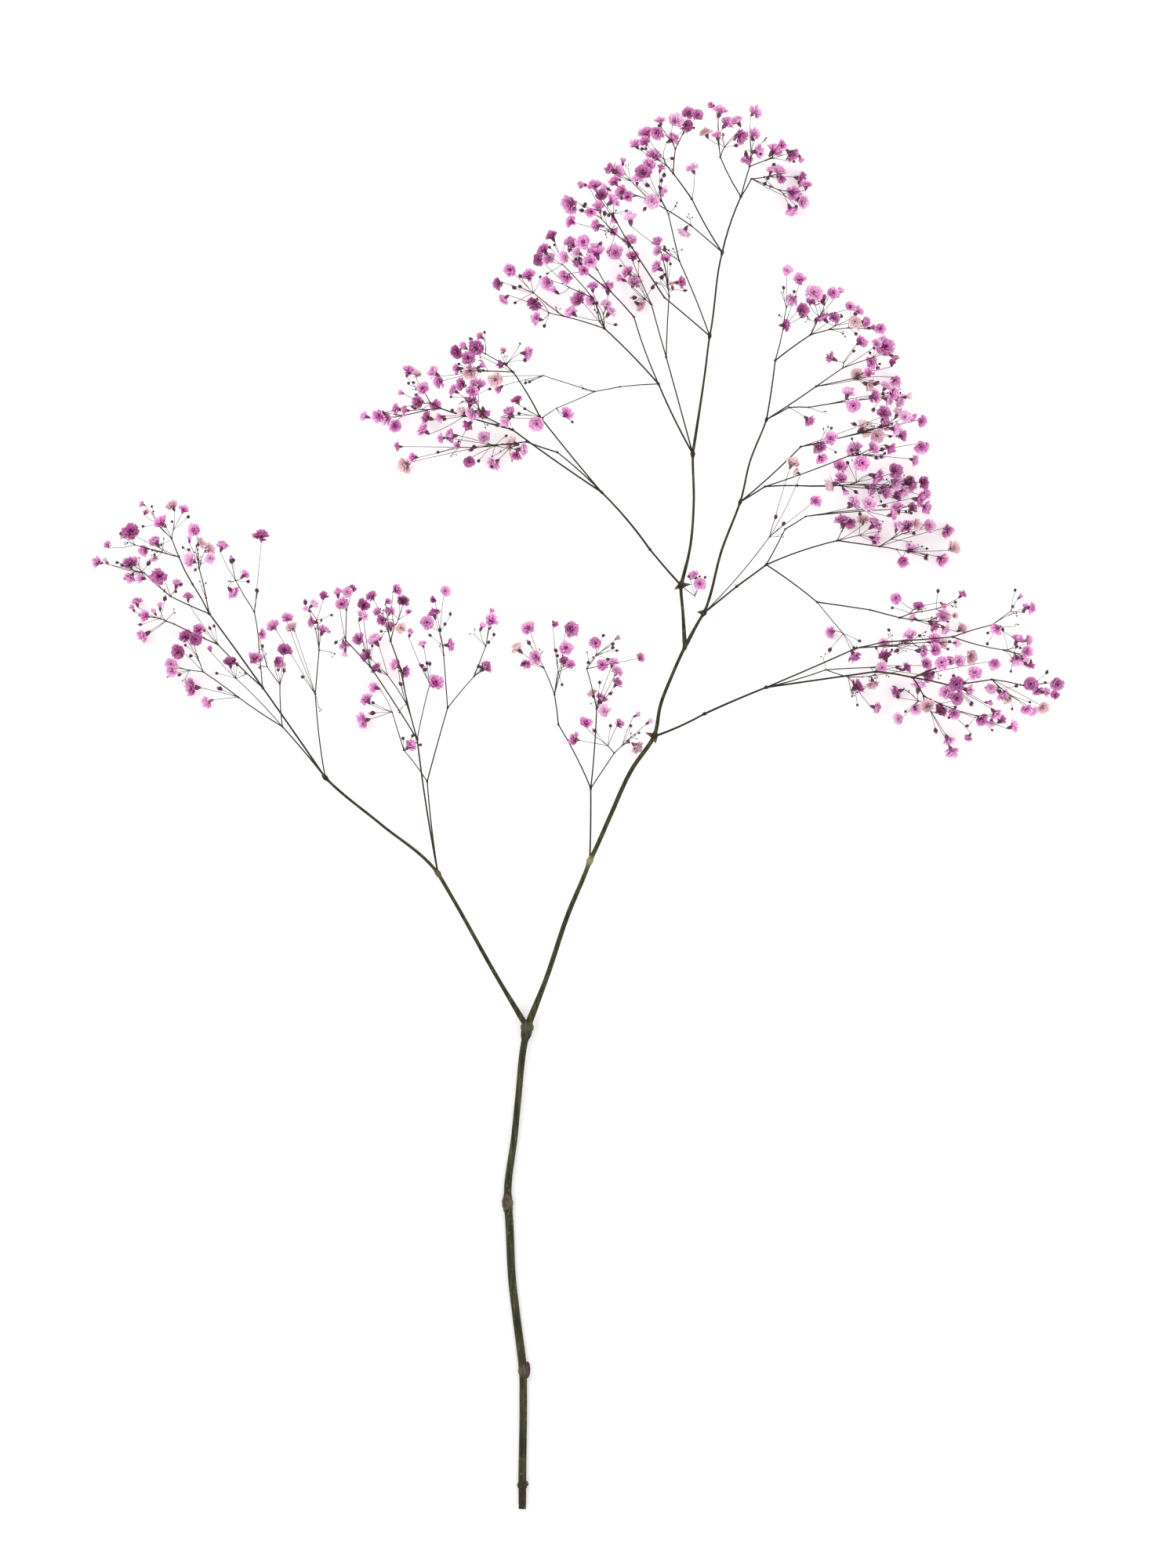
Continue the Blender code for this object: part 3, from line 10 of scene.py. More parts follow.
import bpy
import numpy as np
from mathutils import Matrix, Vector

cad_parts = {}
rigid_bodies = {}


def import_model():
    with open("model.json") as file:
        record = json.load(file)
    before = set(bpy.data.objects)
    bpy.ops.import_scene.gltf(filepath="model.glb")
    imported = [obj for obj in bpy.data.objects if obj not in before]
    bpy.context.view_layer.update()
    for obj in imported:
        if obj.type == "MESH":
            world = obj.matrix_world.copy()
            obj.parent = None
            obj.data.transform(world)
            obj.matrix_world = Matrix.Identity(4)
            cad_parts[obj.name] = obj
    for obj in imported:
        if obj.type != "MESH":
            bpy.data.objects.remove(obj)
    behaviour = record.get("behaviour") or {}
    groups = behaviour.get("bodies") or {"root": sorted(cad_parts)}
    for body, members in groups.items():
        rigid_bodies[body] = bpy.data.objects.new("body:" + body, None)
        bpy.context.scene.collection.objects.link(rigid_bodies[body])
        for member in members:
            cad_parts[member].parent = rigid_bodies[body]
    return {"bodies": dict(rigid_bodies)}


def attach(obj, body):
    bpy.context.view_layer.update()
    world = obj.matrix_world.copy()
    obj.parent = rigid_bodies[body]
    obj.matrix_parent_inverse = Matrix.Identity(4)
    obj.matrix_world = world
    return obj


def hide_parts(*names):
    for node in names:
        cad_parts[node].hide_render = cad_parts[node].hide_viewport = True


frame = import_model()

Array = np.ndarray
Chance = np.random.Generator
Material = bpy.types.Material
Mesh = bpy.types.Mesh
Socket = bpy.types.NodeSocket
Range = Tuple[float, float]
Triple = Tuple[float, float, float]

LOG = logging.getLogger("gypsophila")

MM = 0.001
GAP = 0.3
PEDICEL_HALF_WIDTH = 0.19
TWIG_GROWTH_POWER = 0.38
FLORET_ROOM = 0.5
FLORET_FOOTROOM = 1.1
FLORET_CORNER_FACTOR = 1.1
TUFT_DEPTH = 9
FORK_BACK = 3
FORK_OPENING = 1.1
FORK_REACH_SHARE = 0.7
FLORET_CANDIDATES = 14
SPREADING_ROUNDS = 16
MOST_LIFT = 1.5
SAME_PLACE = 0.01
NEARBY = 3
SEED = 7
ANY_TURN = (0.0, 6.28)
WHITE = (1.0, 1.0, 1.0, 1.0)
ACROSS, ALONG, UP = np.eye(3)

# The stout limbs: base node, and points as x, y, z and half thickness, with the name of a node there
LIMBS = {
    "main_stem": (
        None,
        [
            (-28, -359.5, 2.3, 1.9, "cut_end"), (-28, -350, 2.4, 1.9),
            (-28, -347.5, 2.6, 2.6, "stem_node_1"), (-28, -344.5, 2.5, 2), (-27.5, -311, 2.4, 1.9),
            (-27.5, -293, 2.5, 1.9), (-27.5, -289, 2.7, 2.6, "stem_node_2"), (-28, -284.5, 2.6, 2.1),
            (-31, -261, 2.5, 2), (-33, -244.5, 2.5, 2), (-35, -208.5, 2.5, 2.05),
            (-35.5, -203, 2.9, 2.85, "stem_node_3"), (-35.5, -197.5, 2.7, 1.9), (-32, -169, 3, 1.65),
            (-30, -149, 3.4, 1.6), (-26.8, -120.5, 4.7, 1.7), (-26, -116.6, 5, 2.7),
            (-25.5, -113.2, 5.2, 3.4, "first_fork"), (-25.5, -110.5, 5.4, 2.9),
        ],
    ),
    "left_branch": (
        "first_fork",
        [
            (-40, -89, 8, 1), (-62.5, -49, 12.5, 0.9), (-69.5, -37, 14, 0.95),
            (-71, -34.5, 14.3, 1.5, "left_fork_1"), (-73, -32, 14.6, 0.8), (-100, -9.5, 18, 0.65),
            (-126.5, 12.5, 21.5, 0.65), (-128.5, 14.5, 21.8, 1.3, "left_fork_2"),
            (-129.8, 16, 22.1, 0.9),
        ],
    ),
    "leader": (
        "first_fork",
        [
            (-16, -89, 7.5, 1.25), (-4.5, -55, 10.5, 1.2), (5.2, -31.6, 12.9, 1.1),
            (6.5, -28, 13.2, 1.75, "leader_node_1"), (8, -25, 13.5, 1.1), (17, -5, 15.8, 1.1),
            (28.5, 19.5, 18.3, 1.05), (38, 33, 20, 1.05), (39.5, 35.5, 20.3, 1.8, "leader_node_2"),
            (40.3, 38.5, 20.7, 0.95), (42.5, 51, 22.3, 0.85), (48, 65.5, 24.2, 0.8), (54, 79, 26, 0.8),
            (55, 81, 26.3, 1.2, "leader_node_3"), (55.6, 82.6, 26.5, 0.9),
        ],
    ),
    "upper_arm": (
        "leader_node_3",
        [
            (53.8, 101, 29, 0.75), (53, 110, 30.2, 0.8), (53, 112.5, 30.5, 1.8, "upper_node_1"),
            (53.8, 115.5, 30.9, 0.9), (57.5, 131, 32.3, 0.65), (59.5, 155, 33.5, 0.6),
            (59, 177, 34.5, 0.6), (59, 179.5, 34.7, 1.3, "upper_node_2"), (59.1, 181, 34.8, 0.8),
        ],
    ),
    "right_arm": (
        "leader_node_3",
        [
            (63.5, 96.5, 27.8, 0.7), (64.8, 98.5, 28, 1.4, "right_node_1"), (65.8, 101, 28.2, 0.7),
            (74, 131, 30, 0.6), (82.5, 153, 31.8, 0.55), (83.2, 155, 32, 1, "right_node_2"),
            (83.8, 157, 32.1, 0.5), (88, 175, 33, 0.45), (96, 195.3, 34, 0.42),
            (96.6, 197, 34.1, 0.9, "right_node_3"), (96.9, 198, 34.2, 0.6),
        ],
    ),
    "top_leader": (
        "upper_node_2",
        [
            (65.5, 223, 37, 0.5), (67.3, 237.5, 38, 0.45), (67.6, 239.5, 38.1, 1, "top_node_1"),
            (68, 241.5, 38.3, 0.45), (73.5, 280, 40.2, 0.4), (74, 282, 40.3, 0.9, "top_node_2"),
            (74.2, 283, 40.4, 0.6),
        ],
    ),
}

# The sprigs' forks by crown: piece, the fork it springs from, and each own fork's letter, x, y and z
SHOOTS = [
    ("far_left", [
        ("limb", "left_fork_2", ("a", -160.5, 60.5, 25), ("b", -187.5, 98, 28)),
        ("tip_sprig", "b", ("c", -196, 113, 30), ("d", -203, 127, 33)),
        ("west_sprig", "b", ("e", -207.5, 107, 23), ("f", -221, 119, 20)),
        ("side_sprig", "a", ("g", -183.5, 82.5, 16), ("h", -206, 93, 14)),
        ("east_sprig", "b", ("i", -189, 106, 37), ("j", -192.5, 121, 41)),
        ("inner_sprig", "a", ("k", -162, 78, 31), ("l", -164.5, 99, 35)),
        ("inner_sprig", "l", ("m", -174, 115, 38)),
        ("low_sprig", "left_fork_2", ("n", -150.5, 40.5, 15), ("o", -173, 55.5, 12)),
        ("low_sprig", "o", ("p", -191, 68.5, 10)),
        ("low_sprig", "n", ("q", -174, 65, 21)),
        ("near_sprig", "n", ("r", -151.5, 62, 30), ("s", -158, 71, 34)),
        ("short_sprig", "left_fork_2", ("t", -133.5, 57, 27), ("u", -131.5, 79.5, 31)),
    ]),
    ("mid_left", [
        ("right_sprig", "left_fork_1", ("a", -76.5, 12.5, 18), ("b", -66, 50, 26)),
        ("right_sprig", "b", ("c", -68, 77, 29)),
        ("far_right_sprig", "b", ("d", -52.5, 66, 34), ("e", -46.5, 81.5, 36)),
        ("low_sprig", "a", ("f", -88.5, 28.5, 10), ("g", -94.5, 48, 9)),
        ("outer_sprig", "left_fork_1", ("h", -81.5, 34, 30), ("i", -105.5, 71, 24)),
        ("outer_sprig", "i", ("j", -118, 84.5, 26)),
        ("centre_sprig", "h", ("k", -90, 70, 33), ("l", -95, 84, 37)),
        ("near_sprig", "h", ("m", -87, 52, 19), ("n", -97, 67, 15)),
        ("outer_sprig", "h", ("o", -75, 62, 41)),
    ]),
    ("middle", [
        ("top_sprig", "leader_node_1", ("a", 7, 9, 20), ("b", 10, 49.5, 32)),
        ("top_sprig", "b", ("c", 5, 70, 36)),
        ("left_sprig", "a", ("d", -9.5, 41.5, 25), ("e", -11.5, 57, 27)),
        ("left_sprig", "e", ("f", -17, 70.5, 27)),
        ("top_sprig", "a", ("g", 19, 27, 15)),
    ]),
    ("upper_left", [
        ("low_sprig", "upper_node_1", ("a", 37, 131, 31), ("b", 12.5, 160, 32)),
        ("low_sprig", "b", ("c", -33, 192, 26), ("d", -57.5, 199, 23)),
        ("low_sprig", "d", ("e", -70, 203, 23)),
        ("centre_sprig", "c", ("f", -46, 198, 35)),
        ("mid_sprig", "b", ("g", -10, 180.5, 19), ("h", -26, 186, 15)),
        ("high_sprig", "b", ("i", -19, 198.5, 39), ("j", -32.5, 221, 45)),
    ]),
    ("top_left", [
        ("high_sprig", "upper_node_2", ("a", 41.5, 215, 41), ("b", 29, 249, 47)),
        ("high_sprig", "b", ("c", 17, 262, 50)),
    ]),
    ("upper_left", [
        ("cross_sprig", "top_left_a", ("k", 22, 213.5, 45), ("l", 9, 211, 47)),
        ("cross_sprig", "l", ("m", -17, 219, 52)),
        ("cross_sprig", "l", ("n", -10.5, 202.5, 46)),
    ]),
    ("top_left", [
        ("low_sprig", "a", ("d", 14, 243.5, 30), ("e", -7, 250, 24)),
        ("inner_sprig", "d", ("f", 8, 259, 35)),
    ]),
    ("top_mid", [
        ("sprig", "upper_node_2", ("a", 45.5, 229, 25), ("b", 38, 256, 19)),
        ("sprig", "a", ("c", 47, 260, 28)),
    ]),
    ("top_fan", [
        ("low_sprig", "top_node_1", ("a", 44.5, 259, 42), ("b", 28, 284.5, 40)),
        ("high_sprig", "top_node_1", ("c", 52, 277.5, 51), ("d", 46.5, 301, 55)),
    ]),
    ("top_arc", [
        ("left_sprig", "top_node_2", ("a", 58, 296, 33), ("b", 37, 309, 28)),
        ("mid_sprig", "top_node_2", ("c", 58.5, 309, 45), ("d", 49, 322, 46)),
        ("right_sprig", "top_node_2", ("e", 83.5, 310.5, 37), ("f", 73, 330.5, 41)),
        ("right_sprig", "e", ("g", 88, 326, 33)),
        ("end_sprig", "e", ("h", 89, 320, 24)),
    ]),
    ("right", [
        ("top_sprig", "right_node_3", ("a", 101, 227, 38), ("b", 105, 243, 40)),
        ("top_sprig", "a", ("c", 119, 240, 44)),
        ("high_sprig", "right_node_3", ("d", 122, 214, 27)),
        ("upper_sprig", "right_node_3", ("e", 108, 203, 43), ("f", 118, 203, 46)),
        ("mid_sprig", "right_node_2", ("g", 114, 183, 43)),
        ("centre_sprig", "right_node_2", ("h", 96, 163, 24), ("i", 112.5, 163.5, 20)),
        ("inner_sprig", "h", ("j", 138.5, 178.5, 31)),
        ("low_sprig", "right_node_1", ("k", 81.5, 112, 29), ("l", 96.5, 123, 30)),
        ("low_sprig", "l", ("m", 133, 135.5, 19), ("n", 154.5, 132.5, 15)),
        ("curve_sprig", "l", ("o", 106, 141, 40), ("p", 116.5, 147.5, 44)),
        ("thin_sprig", "right_node_1", ("q", 98, 137, 47)),
    ]),
    ("lower", [
        ("right_high_sprig", "right_l", ("a", 122.5, 104, 24), ("b", 149.5, 100, 27)),
        ("right_high_sprig", "b", ("c", 164.5, 96, 29)),
        ("right_high_sprig", "a", ("d", 136, 88, 13)),
        ("right_long_sprig", "leader_node_2", ("e", 65, 47, 24), ("f", 96.5, 60.5, 28)),
        ("right_long_sprig", "f", ("g", 152.5, 68.5, 35), ("h", 171, 65.5, 38)),
        ("right_long_sprig", "h", ("i", 190, 61.5, 41)),
        ("right_upper_sprig", "f", ("j", 142.5, 80.5, 40)),
        ("right_mid_sprig", "f", ("k", 127, 69.5, 19)),
        ("right_drop_sprig", "h", ("l", 177, 56, 23)),
        ("right_tip_sprig", "i", ("m", 211.5, 64.5, 33)),
        ("right_far_tip_sprig", "j", ("o", 156, 83.5, 51), ("n", 191, 86, 60)),
    ]),
    ("upper", [
        ("node_sprig", "upper_node_1", ("a", 60, 107, 40)),
    ]),
]

# The tufts by crown: fork, mean height, how many buds, and each floret's x, y and radius
TUFTS = [
    ("far_left", [
        ("d", 35, 3, (-220, 149.5, 1.8), (-206.5, 153, 2.8), (-200.5, 151, 2.2)),
        ("d", 31, 2, (-212, 144.5, 3.3), (-222, 154, 1.6)),
        ("d", 26, 2, (-215.5, 135, 2.9), (-221, 130, 2.7), (-215.5, 126.5, 1.9)),
        ("d", 42, 2, (-227, 140, 3.2), (-231, 138.5, 2.5), (-239, 133, 1.8)),
        ("f", 18, 2, (-245.5, 124.5, 2.7), (-240.5, 125, 1.9)),
        ("f", 12, 2, (-228.5, 124.5, 3.2), (-228, 116.5, 2.6), (-223, 116.5, 2.4)),
        ("e", 32, 2, (-213, 117, 3.5), (-204, 113.5, 2.4)),
        ("h", 12, 2, (-225, 104.5, 2.4), (-220.5, 97, 2.7), (-227, 101, 1.9)),
        ("h", 14, 1, (-213, 102, 2.1), (-216, 99, 1.9)),
        ("h", 9, 1, (-221.5, 87, 3.2)),
        ("g", 22, 3, (-193, 90, 2.5), (-198.5, 107, 2.3)),
        ("j", 46, 1, (-195, 140.5, 2.8), (-191.5, 134, 2.5), (-197.5, 136, 1.8)),
        ("j", 52, 2, (-196.5, 125, 3.2), (-187, 130.5, 2.7), (-186.5, 126, 2.4)),
        ("m", 44, 3, (-180.5, 132.5, 2.6)),
        ("m", 28, 1, (-175.5, 109, 2.9), (-169.5, 118, 2.4)),
        ("l", 40, 3, (-161, 138, 3.1)),
        ("p", 13, 2, (-200, 87, 2.8), (-195, 85, 2.7), (-203.5, 78.5, 2.9)),
        ("p", 8, 2, (-207.5, 72.5, 2.5), (-207, 68.5, 2.4)),
        ("o", 5, 1, (-197, 60.5, 3.6), (-189, 53, 2.9)),
        ("q", 27, 3, (-177, 73.5, 2.9), (-187, 80, 1.7)),
        ("s", 40, 2, (-160.5, 87.5, 2.1), (-164, 75.5, 2.9)),
        ("r", 30, 2, (-152.5, 73.5, 2.4), (-149, 79.5, 2.9), (-149.5, 71, 2.1)),
        ("t", 24, 1, (-155.5, 92, 2.8), (-147.5, 96, 2.4), (-145.5, 91, 2.6)),
        ("u", 34, 2, (-129, 107, 1.9), (-134.5, 103, 2.4), (-137.5, 100, 2.1)),
        ("u", 28, 2, (-135.5, 94, 2.6), (-129.5, 90, 2.8)),
    ]),
    ("mid_left", [
        ("c", 30, 2, (-73, 98.5, 2.7), (-73, 105, 2.1), (-76.5, 93.5, 2.7)),
        ("c", 38, 2, (-67, 109.5, 2.1), (-65, 82, 2.5)),
        ("e", 38, 3, (-43.5, 94.5, 2.8), (-48.5, 91.5, 2.2), (-43.5, 99, 1.8)),
        ("d", 26, 3, (-46.5, 71, 2.9)),
        ("g", 9, 2, (-103.5, 60.5, 2.6), (-107.5, 54.5, 2.9), (-109.5, 43.5, 3.2)),
        ("f", 10, 3, (-85, 31, 2.8)),
        ("j", 30, 2, (-122, 109, 2.5), (-117, 109, 2), (-115, 110.5, 1.9), (-120, 103, 2.5)),
        ("j", 16, 1, (-119, 82, 2.4), (-118.5, 78, 2.1)),
        ("i", 22, 2, (-109, 102.5, 2.7), (-109.5, 97, 2.7), (-111.5, 85, 2.5)),
        ("l", 40, 1, (-104.5, 107, 2.4), (-102, 99, 1.9), (-99, 94.5, 2.2), (-96.5, 104, 2.2)),
        ("l", 34, 1, (-95.5, 99, 2.4), (-95, 92, 2.4)),
        ("l", 50, 2, (-91.5, 110, 2.4), (-88.5, 104.5, 2.5), (-89.5, 90.5, 2.4), (-85.5, 98.5, 1.9)),
        ("n", 12, 1, (-103.5, 85, 3.4), (-107.5, 77, 2.7), (-102.5, 70.5, 2.7)),
        ("m", 10, 1, (-92.5, 72, 2.7), (-88, 68.5, 2.7)),
        ("o", 46, 4, (-85, 88, 2.2), (-78.5, 82.5, 1.9)),
        ("o", 40, 0, (-72, 63, 3.2)),
    ]),
    ("middle", [
        ("f", 32, 2, (-25, 91, 2.9)),
        ("f", 22, 1, (-30.5, 80.5, 2.9), (-21.5, 75.5, 2.9), (-25.5, 72.5, 2.2)),
        ("e", 36, 1, (-11.5, 93, 2.1)),
        ("e", 28, 2, (-3, 90, 3.2), (-5.5, 80.5, 2.9), (-6.5, 74, 2.4), (-3.5, 72, 2.2)),
        ("c", 42, 4, (9.5, 83, 2.4), (13, 72, 2.5)),
        ("c", 46, 4, (20.5, 85.5, 1.8), (32.5, 75.5, 1.9)),
        ("b", 32, 1, (18.5, 73, 2.5), (20.5, 68.5, 2.5), (20.5, 63, 2.4)),
        ("b", 24, 1, (7.5, 57.5, 2.4), (12.5, 55, 2.9), (14, 48.5, 2.7)),
        ("g", 11, 1, (4.5, 42.5, 2.8), (-1.5, 34, 2.6)),
        ("g", 10, 4, (21.5, 42, 2.1), (30.5, 46.5, 1.8), (37, 43, 2), (30.5, 30, 2.8)),
    ]),
    ("upper_left", [
        ("e", 20, 2, (-108.5, 199, 2.2), (-101.5, 198.5, 2.6), (-97.5, 198, 2.5)),
        ("e", 14, 1, (-92.5, 203, 2.5), (-93, 194, 2.3), (-88, 202, 2)),
        ("e", 30, 2, (-78.5, 213, 2.4), (-81, 206, 2.6), (-72.5, 204.5, 2.3), (-89.5, 210.5, 1.7)),
        ("e", 38, 2, (-85.5, 222, 2.8), (-81.5, 220, 1.8)),
        ("d", 14, 2, (-77, 198.5, 2.8), (-70, 198.5, 2.1), (-78.5, 192, 2.8)),
        ("f", 36, 2, (-54.5, 206, 2.6), (-58.5, 201, 2.6), (-54, 200, 2.6)),
        ("f", 32, 1, (-47.5, 200.5, 2.6), (-55.5, 194.5, 2.3)),
        ("f", 42, 3, (-51, 215, 3.1), (-59, 214.5, 2.4), (-63, 212, 2.3), (-53, 211, 2.3)),
        ("h", 10, 1, (-33.5, 185.5, 2.9), (-27.5, 182, 2.8), (-31, 179, 2.2)),
        ("h", 8, 4, (-47.5, 188.5, 2.4), (-42.5, 175, 2.8), (-55, 176, 2.2)),
        ("h", 14, 3, (-64.5, 189, 2.7), (-69.5, 187.5, 1.9), (-61, 184, 2)),
        ("h", 9, 1, (-88, 174, 3), (-83.5, 178, 2.1), (-91.5, 183.5, 1.8)),
        ("j", 48, 1, (-37.5, 231.5, 1.9), (-38.5, 225, 2), (-25.5, 230.5, 2.6)),
        ("j", 58, 1, (-61, 230.5, 2.6), (-57.5, 234, 2.2), (-51.5, 233, 2.9)),
        ("j", 62, 1, (-49, 238.5, 1.8), (-55.5, 228, 2.6)),
        ("j", 52, 2, (-61, 222.5, 2.3), (-54.5, 220.5, 2.9), (-49, 224, 1.9)),
        ("j", 54, 2, (-73, 220.5, 2.8), (-70.5, 216, 2.4)),
        ("i", 28, 2, (-30.5, 207, 2.1), (-34.5, 201, 2.7), (-36, 196.5, 2.7)),
        ("m", 64, 2, (-41.5, 216.5, 2.8), (-39.5, 212.5, 2.2)),
        ("n", 42, 2, (-20.5, 194.5, 2.9), (-5, 200, 2.5)),
    ]),
    ("top_left", [
        ("e", 18, 4, (-34.5, 274, 2.4), (-40.5, 266.5, 2.4), (-37.5, 259, 2.3)),
        ("e", 12, 2, (-25, 271, 2.8), (-21.5, 256.5, 2.8), (-21, 248.5, 2.6)),
        ("d", 18, 2, (0.5, 258.5, 2.9), (7, 258.5, 2.1), (-3, 252.5, 2.7), (8, 265, 2.3)),
        ("d", 24, 1, (14.5, 256, 2.1), (17, 252.5, 2.6), (15.5, 264.5, 2.7)),
        ("f", 34, 1, (-15.5, 266.5, 2.9), (-11.5, 263, 2.2)),
        ("f", 38, 3, (-17, 283, 2.6), (-19.5, 278.5, 2.3), (-14.5, 279, 2.4), (-13, 290.5, 2.4)),
        ("c", 48, 2, (-6.5, 279, 2.3), (-3, 286.5, 3.1), (-6, 269, 2.7)),
        ("c", 52, 2, (0, 282, 2.4), (0.5, 277, 2.4)),
        ("c", 62, 2, (3, 286.5, 2.6), (9.5, 282, 3.4), (6.5, 276.5, 2.4), (3.5, 272.5, 2.1)),
    ]),
    ("top_mid", [
        ("b", 20, 2, (19.5, 283, 2.9), (27, 288.5, 2.9), (28.5, 280.5, 2.4), (25.5, 272.5, 2.4)),
        ("b", 11, 3, (22.5, 269.5, 2.1), (29.5, 268, 2.9), (32.5, 256, 2.5)),
        ("c", 26, 3, (41, 288, 2.4), (41, 283, 2.1), (40.5, 275, 2.7), (45.5, 280, 2.1)),
        ("c", 20, 1, (48.5, 266, 1.8), (53, 267, 2.4)),
    ]),
    ("top_fan", [
        ("b", 38, 3, (10, 296, 2.5), (18.5, 299, 2.2), (18.5, 293, 1.9), (-3, 298, 2.2)),
        ("b", 44, 3, (-3.5, 306, 3.4), (3, 316.5, 2.2), (9, 316, 2.7), (14.5, 315, 2.2)),
        ("b", 50, 2, (12.5, 311, 2.4), (18.5, 308, 2.9), (11, 305, 2.6), (7, 302, 2.1)),
        ("c", 58, 3, (27, 299, 3)),
        ("d", 56, 2, (43.5, 313, 2.3), (38, 307.5, 2.6)),
        ("d", 66, 2, (33.5, 322, 2.9), (30.5, 318.5, 2.2), (36.5, 326.5, 2.6), (42.5, 324, 1.8)),
    ]),
    ("top_arc", [
        ("b", 26, 2, (23.5, 329, 1.9), (17, 325, 2.5), (21, 324, 2.6), (19, 319, 2.3)),
        ("b", 14, 2, (22.5, 314, 2.5), (26, 311, 2)),
        ("a", 26, 0, (54.5, 292.5, 2.6)),
        ("d", 44, 2, (35.5, 343, 2.9), (40.5, 342.5, 2.5), (29.5, 337, 2.4)),
        ("d", 48, 1, (34.5, 338, 2), (42.5, 349, 2)),
        ("d", 52, 1, (50.5, 348.5, 3), (57, 353, 2.5), (61.5, 351.5, 2.2), (55.5, 346.5, 2.4)),
        ("d", 36, 2, (39, 331.5, 2.7), (36.5, 327, 2.4), (49, 340, 2.7)),
        ("c", 58, 0, (58.5, 324.5, 2.4)),
        ("f", 42, 1, (69, 357, 2.1), (73, 354, 2.9), (76.5, 348, 2.8), (81.5, 349, 2.6)),
        ("f", 48, 1, (65.5, 343, 2.4), (71, 341, 2), (83, 340.5, 2.9)),
        ("g", 32, 2, (91, 354, 2.6), (90.5, 342.5, 2.3), (86.5, 330.5, 2.7)),
        ("g", 28, 2, (92.5, 334, 2.8), (101, 335, 3.2), (104.5, 337, 2)),
        ("g", 22, 1, (109.5, 332, 2.9), (114, 330.5, 2)),
        ("h", 18, 3, (99, 324.5, 1.8), (103, 324, 2.7), (104.5, 320.5, 1.9)),
        ("h", 13, 1, (114.5, 320.5, 2.7), (117, 317, 2.2), (110.5, 313, 2.5)),
        ("h", 9, 1, (113.5, 310.5, 2), (115.5, 308, 2.4), (109.5, 304.5, 2.6)),
    ]),
    ("right", [
        ("b", 42, 2, (107, 272.5, 2.2), (113.5, 268.5, 2.6)),
        ("b", 34, 0, (109.5, 258, 2.6), (115, 253, 2.8), (106.5, 245, 2.6)),
        ("c", 50, 1, (120.5, 261, 3.3), (124.5, 258, 2.7), (119, 257, 2)),
        ("c", 46, 0, (130.5, 261, 2.5), (134, 262, 2.2)),
        ("c", 38, 3, (125.5, 249, 2.6), (131, 248.5, 2.3)),
        ("c", 48, 1, (139, 254, 2.2), (143, 252.5, 2.8), (141.5, 246.5, 2.4)),
        ("c", 42, 1, (147, 246.5, 2.7), (154.5, 243, 2.3), (150, 243.5, 2)),
        ("d", 30, 2, (145, 237, 2.5), (153, 236, 2), (157.5, 234.5, 3.5)),
        ("d", 22, 3, (161.5, 229, 2.2), (161, 226, 2.1), (150.5, 226.5, 2.4)),
        ("d", 13, 2, (143, 220.5, 2.5), (149, 221, 2.2), (149.5, 215, 2.8), (162.5, 217, 2.6)),
        ("d", 20, 0, (129.5, 228.5, 2.6)),
        ("f", 50, 2, (151.5, 208.5, 2.8), (157.5, 214, 2.4), (161, 210, 2.5), (159, 207, 2.6)),
        ("f", 44, 2, (164.5, 206.5, 2.9), (168.5, 208.5, 2.2)),
        ("f", 56, 1, (138, 210.5, 2.8), (140.5, 203.5, 2.8)),
        ("e", 52, 0, (118, 196.5, 2.5)),
        ("g", 38, 2, (163.5, 200.5, 2.4), (167, 198, 2.5), (170.5, 198, 2.2), (176, 196, 2.4)),
        ("g", 33, 2, (156.5, 200.5, 2.8), (157, 194.5, 2.8), (162.5, 192, 2.8), (165.5, 189, 2.5)),
        ("g", 28, 1, (146.5, 192.5, 3.5), (153, 188.5, 2.7)),
        ("g", 56, 3, (129, 187, 2.7), (123.5, 182.5, 2.8), (124, 176.5, 2.5)),
        ("i", 22, 3, (153.5, 168, 3.2), (162.5, 171, 2.9), (163, 165, 2.7)),
        ("i", 10, 2, (150.5, 162, 2.7), (157.5, 160.5, 3), (163.5, 158.5, 2.3)),
        ("i", 14, 2, (169.5, 164.5, 3.2), (167, 160.5, 2.6)),
        ("i", 16, 2, (177, 165, 2.5), (178.5, 160, 2.5)),
        ("i", 12, 2, (134.5, 174, 2.6), (129.5, 164, 3), (135, 167.5, 2.4), (137, 161, 2)),
        ("j", 40, 4, (151, 182.5, 2.5), (159.5, 182, 2.5), (141.5, 182, 3.2)),
        ("j", 30, 4, (175.5, 182.5, 3), (172.5, 176.5, 2.3)),
        ("j", 48, 3, (145, 174.5, 3)),
        ("p", 44, 2, (141, 154.5, 3.1), (149, 154, 2.7)),
        ("p", 38, 4, (174.5, 156, 2.9), (178, 152, 2.5), (163.5, 152.5, 2.8), (161, 148.5, 2.4)),
        ("p", 34, 1, (171, 152, 2.3)),
        ("m", 10, 2, (135.5, 146, 3.2), (146.5, 146.5, 2.4), (152, 144, 3), (139.5, 144.5, 2.4)),
        ("m", 8, 1, (152.5, 136.5, 2.6)),
        ("n", 22, 2, (163.5, 142.5, 2.3), (168.5, 143, 2.7), (173, 144, 2.3), (180, 143, 2.7)),
        ("n", 12, 1, (170.5, 131.5, 2.7), (166.5, 124.5, 2.5)),
        ("n", 9, 4, (189.5, 140.5, 2.5), (192, 132, 2.8), (186.5, 126, 2.7)),
        ("q", 52, 1, (109.5, 174.5, 2.7), (111.5, 170, 1.9)),
        ("q", 60, 2, (121.5, 155, 2.4)),
    ]),
    ("lower", [
        ("c", 36, 1, (162.5, 106, 2.3), (174, 102, 2.3)),
